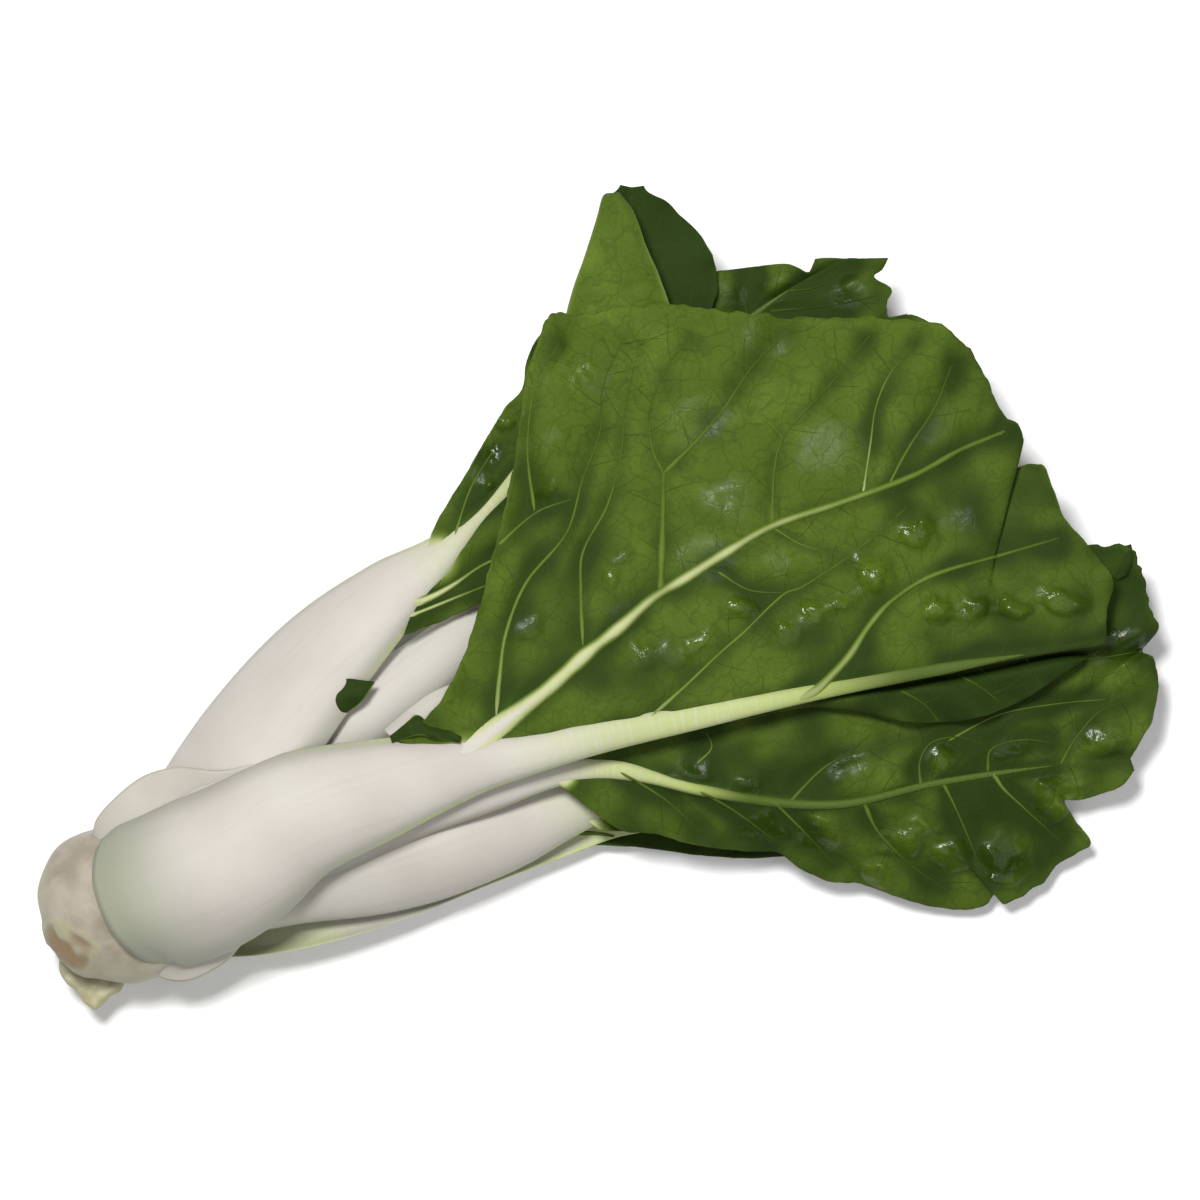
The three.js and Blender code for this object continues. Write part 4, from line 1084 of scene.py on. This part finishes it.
def add_node(tree, kind, links=None, **settings):
    """Adds a node, sets its inputs by name and links others into it."""
    node = tree.nodes.new(kind)
    for key, value in settings.items():
        if hasattr(node, key):
            setattr(node, key, value)
        else:
            node.inputs[key.replace("_", " ")].default_value = value
    for key, socket in (links or {}).items():
        tree.links.new(socket, node.inputs[key])
    return node


def new_material(name):
    material = bpy.data.materials.new(name)
    material.use_nodes = True
    tree = material.node_tree
    shader = tree.nodes["Principled BSDF"]
    place = add_node(tree, "ShaderNodeTexCoord").outputs["Object"]
    return material, tree, shader, place


def mix_colour(tree, factor, first, second):
    node = tree.nodes.new("ShaderNodeMix")
    node.data_type = "RGBA"
    for socket, value in ((node.inputs[0], factor), (node.inputs[6], first), (node.inputs[7], second)):
        if isinstance(value, (tuple, float, int)):
            socket.default_value = value
        else:
            tree.links.new(value, socket)
    return node.outputs[2]


def ramp(tree, value, low, high, start=0.0, end=1.0):
    node = add_node(tree, "ShaderNodeMapRange", {"Value": value}, interpolation_type="SMOOTHSTEP")
    node.inputs["From Min"].default_value = low
    node.inputs["From Max"].default_value = high
    node.inputs["To Min"].default_value = start
    node.inputs["To Max"].default_value = end
    return node.outputs["Result"]


def times(tree, a, b):
    node = tree.nodes.new("ShaderNodeMath")
    node.operation = "MULTIPLY"
    for socket, value in zip(node.inputs, (a, b)):
        if isinstance(value, (float, int)):
            socket.default_value = value
        else:
            tree.links.new(value, socket)
    return node.outputs[0]


def tint_channels(tree):
    attribute = add_node(tree, "ShaderNodeVertexColor", layer_name="tint")
    split = add_node(tree, "ShaderNodeSeparateColor", {"Color": attribute.outputs["Color"]})
    return [*split.outputs[:3], attribute.outputs["Alpha"]]


def noise_texture(tree, place, scale, detail, output="Fac"):
    return add_node(tree, "ShaderNodeTexNoise", {"Vector": place}, Scale=scale, Detail=detail).outputs[output]


def cell_edges(tree, place, scale):
    settings = {"feature": "DISTANCE_TO_EDGE", "Scale": scale}
    return add_node(tree, "ShaderNodeTexVoronoi", {"Vector": place}, **settings).outputs["Distance"]


def stretched(tree, flow, scale):
    node = add_node(tree, "ShaderNodeMapping", {"Vector": flow})
    node.inputs["Scale"].default_value = scale
    return node.outputs["Vector"]


def add_bumps(tree, shader, layers):
    """Bumps on top of each other: height, strength, distance in metres, and whether they go inward."""
    links = {}
    for height, strength, distance, inward in layers:
        links["Height"] = height
        node = add_node(tree, "ShaderNodeBump", links, invert=inward, Strength=strength, Distance=distance)
        links["Normal"] = node.outputs["Normal"]
    tree.links.new(links["Normal"], shader.inputs["Normal"])


def set_shader(shader, values):
    for key, value in values.items():
        shader.inputs[key].default_value = value


def leaf_material():
    """Waxy green blade: pale ribs, darker thin veins, and painted shade in the creases and along a fine net
    of sunken veins.
    """
    material, tree, shader, place = new_material("leaf_blade")
    pale, crease, tone, shine = tint_channels(tree)
    warp = noise_texture(tree, place, 130.0, 3.0, "Color")
    bent = add_node(tree, "ShaderNodeMixRGB", {"Color1": place, "Color2": warp}, blend_type="ADD", Fac=0.011)
    net = ramp(tree, cell_edges(tree, bent.outputs["Color"], 150.0), 0.0, 0.07, 1.0, 0.0)
    fine_net = ramp(tree, cell_edges(tree, bent.outputs["Color"], 520.0), 0.0, 0.12, 1.0, 0.0)
    mottle = noise_texture(tree, place, 70.0, 5.0)
    grain = noise_texture(tree, place, 1400.0, 2.0)
    crumple = noise_texture(tree, place, 260.0, 1.0)
    green = mix_colour(tree, ramp(tree, tone, 0.1, 0.6), LEAF_DARK, LEAF_MID)
    lit = times(tree, ramp(tree, mottle, 0.45, 0.75), ramp(tree, tone, 0.15, 0.75, 0.0, 0.75))
    green = mix_colour(tree, lit, green, LEAF_LIGHT)
    # Darker along the net and the creases: painted shade in these grooves. The crease channel also darkens
    # the thin branch veins.
    for mark, strength in ((net, 0.3), (fine_net, 0.2), (crease, 0.6)):
        green = mix_colour(tree, times(tree, mark, strength), green, LEAF_VEIN_AND_SHADE)
    rib = mix_colour(tree, ramp(tree, pale, 0.3, 0.8), RIB_GREEN, RIB_PALE)
    rib = mix_colour(tree, ramp(tree, pale, 0.78, 0.98), rib, STALK_WHITE)
    colour = mix_colour(tree, ramp(tree, pale, 0.02, 0.4), green, rib)
    tree.links.new(colour, shader.inputs["Base Color"])
    tree.links.new(ramp(tree, shine, 0.05, 0.7, 0.8, 0.17), shader.inputs["Roughness"])
    set_shader(shader, {"Specular IOR Level": 0.15})
    add_bumps(tree, shader, [
        (net, 0.2, 0.0003, True),
        (fine_net, 0.12, 0.0002, True),
        (grain, 0.25, 0.0001, False),
        (times(tree, crumple, shine), 0.45, 0.001, False),
    ])
    return material


def stalk_material():
    """Moist off-white stalk: faint long fibres, grey-green margins, lime where the blade starts."""
    material, tree, shader, place = new_material("leaf_stalk")
    green, edge, base, _ = tint_channels(tree)
    flow = add_node(tree, "ShaderNodeUVMap", uv_map="flow").outputs["UV"]
    fibre = noise_texture(tree, stretched(tree, flow, (1.2, 60.0, 1.0)), 1.0, 3.0)
    band = noise_texture(tree, stretched(tree, flow, (90.0, 6.0, 1.0)), 1.0, 1.0)
    cloud = noise_texture(tree, place, 30.0, 3.0)
    grain = noise_texture(tree, place, 1100.0, 2.0)
    white = mix_colour(tree, ramp(tree, cloud, 0.35, 0.7), STALK_WHITE, STALK_PINK)
    fibres = ramp(tree, fibre, 0.5, 0.8)
    margin = ramp(tree, edge, 0.7, 1.0)
    for mark, strength in ((fibres, 0.14), (base, 0.95), (margin, 0.7)):
        white = mix_colour(tree, times(tree, mark, strength), white, STALK_EDGE_GREEN)
    lime = mix_colour(tree, ramp(tree, green, 0.6, 1.0), STALK_LIME, RIB_FAR)
    lime = mix_colour(tree, ramp(tree, green, 0.35, 0.75), PALE_LIME, lime)
    stripe = times(tree, ramp(tree, band, 0.48, 0.64), ramp(tree, green, 0.35, 0.7, 0.3, 0.0))
    lime = mix_colour(tree, stripe, lime, STALK_WHITE)
    colour = mix_colour(tree, ramp(tree, green, 0.02, 0.3), white, lime)
    tree.links.new(colour, shader.inputs["Base Color"])
    set_shader(shader, {
        "Roughness": 0.58,
        "Specular IOR Level": 0.22,
        "Subsurface Weight": 0.25,
        "Subsurface Radius": (1.0, 0.9, 0.6),
        "Subsurface Scale": 0.003,
    })
    add_bumps(tree, shader, [(fibre, 0.14, 0.0005, False), (grain, 0.35, 0.00012, False)])
    return material


def heel_material():
    """Dull cream stem tissue, olive at its rim, brown where the cut has dried, with a few specks."""
    material, tree, shader, place = new_material("heel")
    brown, olive, rim, _ = tint_channels(tree)
    cloud = noise_texture(tree, place, 90.0, 4.0)
    grain = noise_texture(tree, place, 900.0, 3.0)
    specks = add_node(tree, "ShaderNodeTexVoronoi", {"Vector": place}, Scale=170.0).outputs["Distance"]
    cream = mix_colour(tree, ramp(tree, cloud, 0.35, 0.7), HEEL_CREAM, HEEL_LIGHT)
    cream = mix_colour(tree, olive, cream, HEEL_OLIVE)
    cream = mix_colour(tree, times(tree, rim, 0.6), cream, HEEL_OLIVE)
    cream = mix_colour(tree, brown, cream, HEEL_BROWN)
    cream = mix_colour(tree, times(tree, ramp(tree, specks, 0.03, 0.09, 1.0, 0.0), 0.7), cream, HEEL_BROWN)
    tree.links.new(cream, shader.inputs["Base Color"])
    set_shader(shader, {
        "Roughness": 0.55,
        "Subsurface Weight": 0.15,
        "Subsurface Radius": (1.0, 0.8, 0.6),
        "Subsurface Scale": 0.003,
    })
    add_bumps(tree, shader, [(grain, 0.4, 0.0003, False)])
    return material


def plain_material(name, colour, roughness):
    material, _, shader, _ = new_material(name)
    set_shader(shader, {"Base Color": colour, "Roughness": roughness})
    return material


def make_floor():
    mesh = bpy.data.meshes.new("floor")
    corners = [(x * FLOOR_REACH, y * FLOOR_REACH, 0) for x, y in ((-1, -1), (1, -1), (1, 1), (-1, 1))]
    mesh.from_pydata(corners, [], [(0, 1, 2, 3)])
    floor = bpy.data.objects.new("floor", mesh)
    floor.data.materials.append(plain_material("pale_floor", FLOOR_PALE, 0.9))
    bpy.context.scene.collection.objects.link(floor)


def make_light(name, place, size, power):
    """Square soft light that faces the middle of the head. Its place is in mm from above."""
    data = bpy.data.lights.new(name, "AREA")
    data.size = size
    data.energy = power
    light = bpy.data.objects.new(name, data)
    light.location = Vector(to_frame(place).tolist())
    aim = Vector(to_frame(LIGHT_AIM).tolist())
    light.rotation_euler = (aim - light.location).to_track_quat("-Z", "Y").to_euler()
    bpy.context.scene.collection.objects.link(light)


def make_world():
    world = bpy.data.worlds.new("studio")
    world.use_nodes = True
    set_shader(world.node_tree.nodes["Background"], {"Color": WORLD_COLOUR, "Strength": WORLD_STRENGTH})
    bpy.context.scene.world = world


def make_camera():
    data = bpy.data.cameras.new("camera")
    data.lens = CAMERA_LENS
    data.sensor_width = CAMERA_SENSOR
    camera = bpy.data.objects.new("camera", data)
    height = CAMERA_WIDTH_MM * CAMERA_LENS / CAMERA_SENSOR + CAMERA_PLANE_Z
    camera.location = Vector(to_frame((*CAMERA_AIM, height)).tolist())
    camera.rotation_euler = (0, 0, -LAY_ANGLE)
    bpy.context.scene.collection.objects.link(camera)
    bpy.context.scene.camera = camera


make_camera()
for light_row in LIGHTS:
    make_light(*light_row)
make_world()
make_floor()

blade_look = leaf_material()
stalk_look = stalk_material()
for leaf_name, leaf_data in LEAVES.items():
    make_stalk(leaf_name, leaf_data, stalk_look)
    make_blade(leaf_name, leaf_data, blade_look)
make_heel(heel_material())

bpy.context.scene.view_settings.view_transform = "Standard"
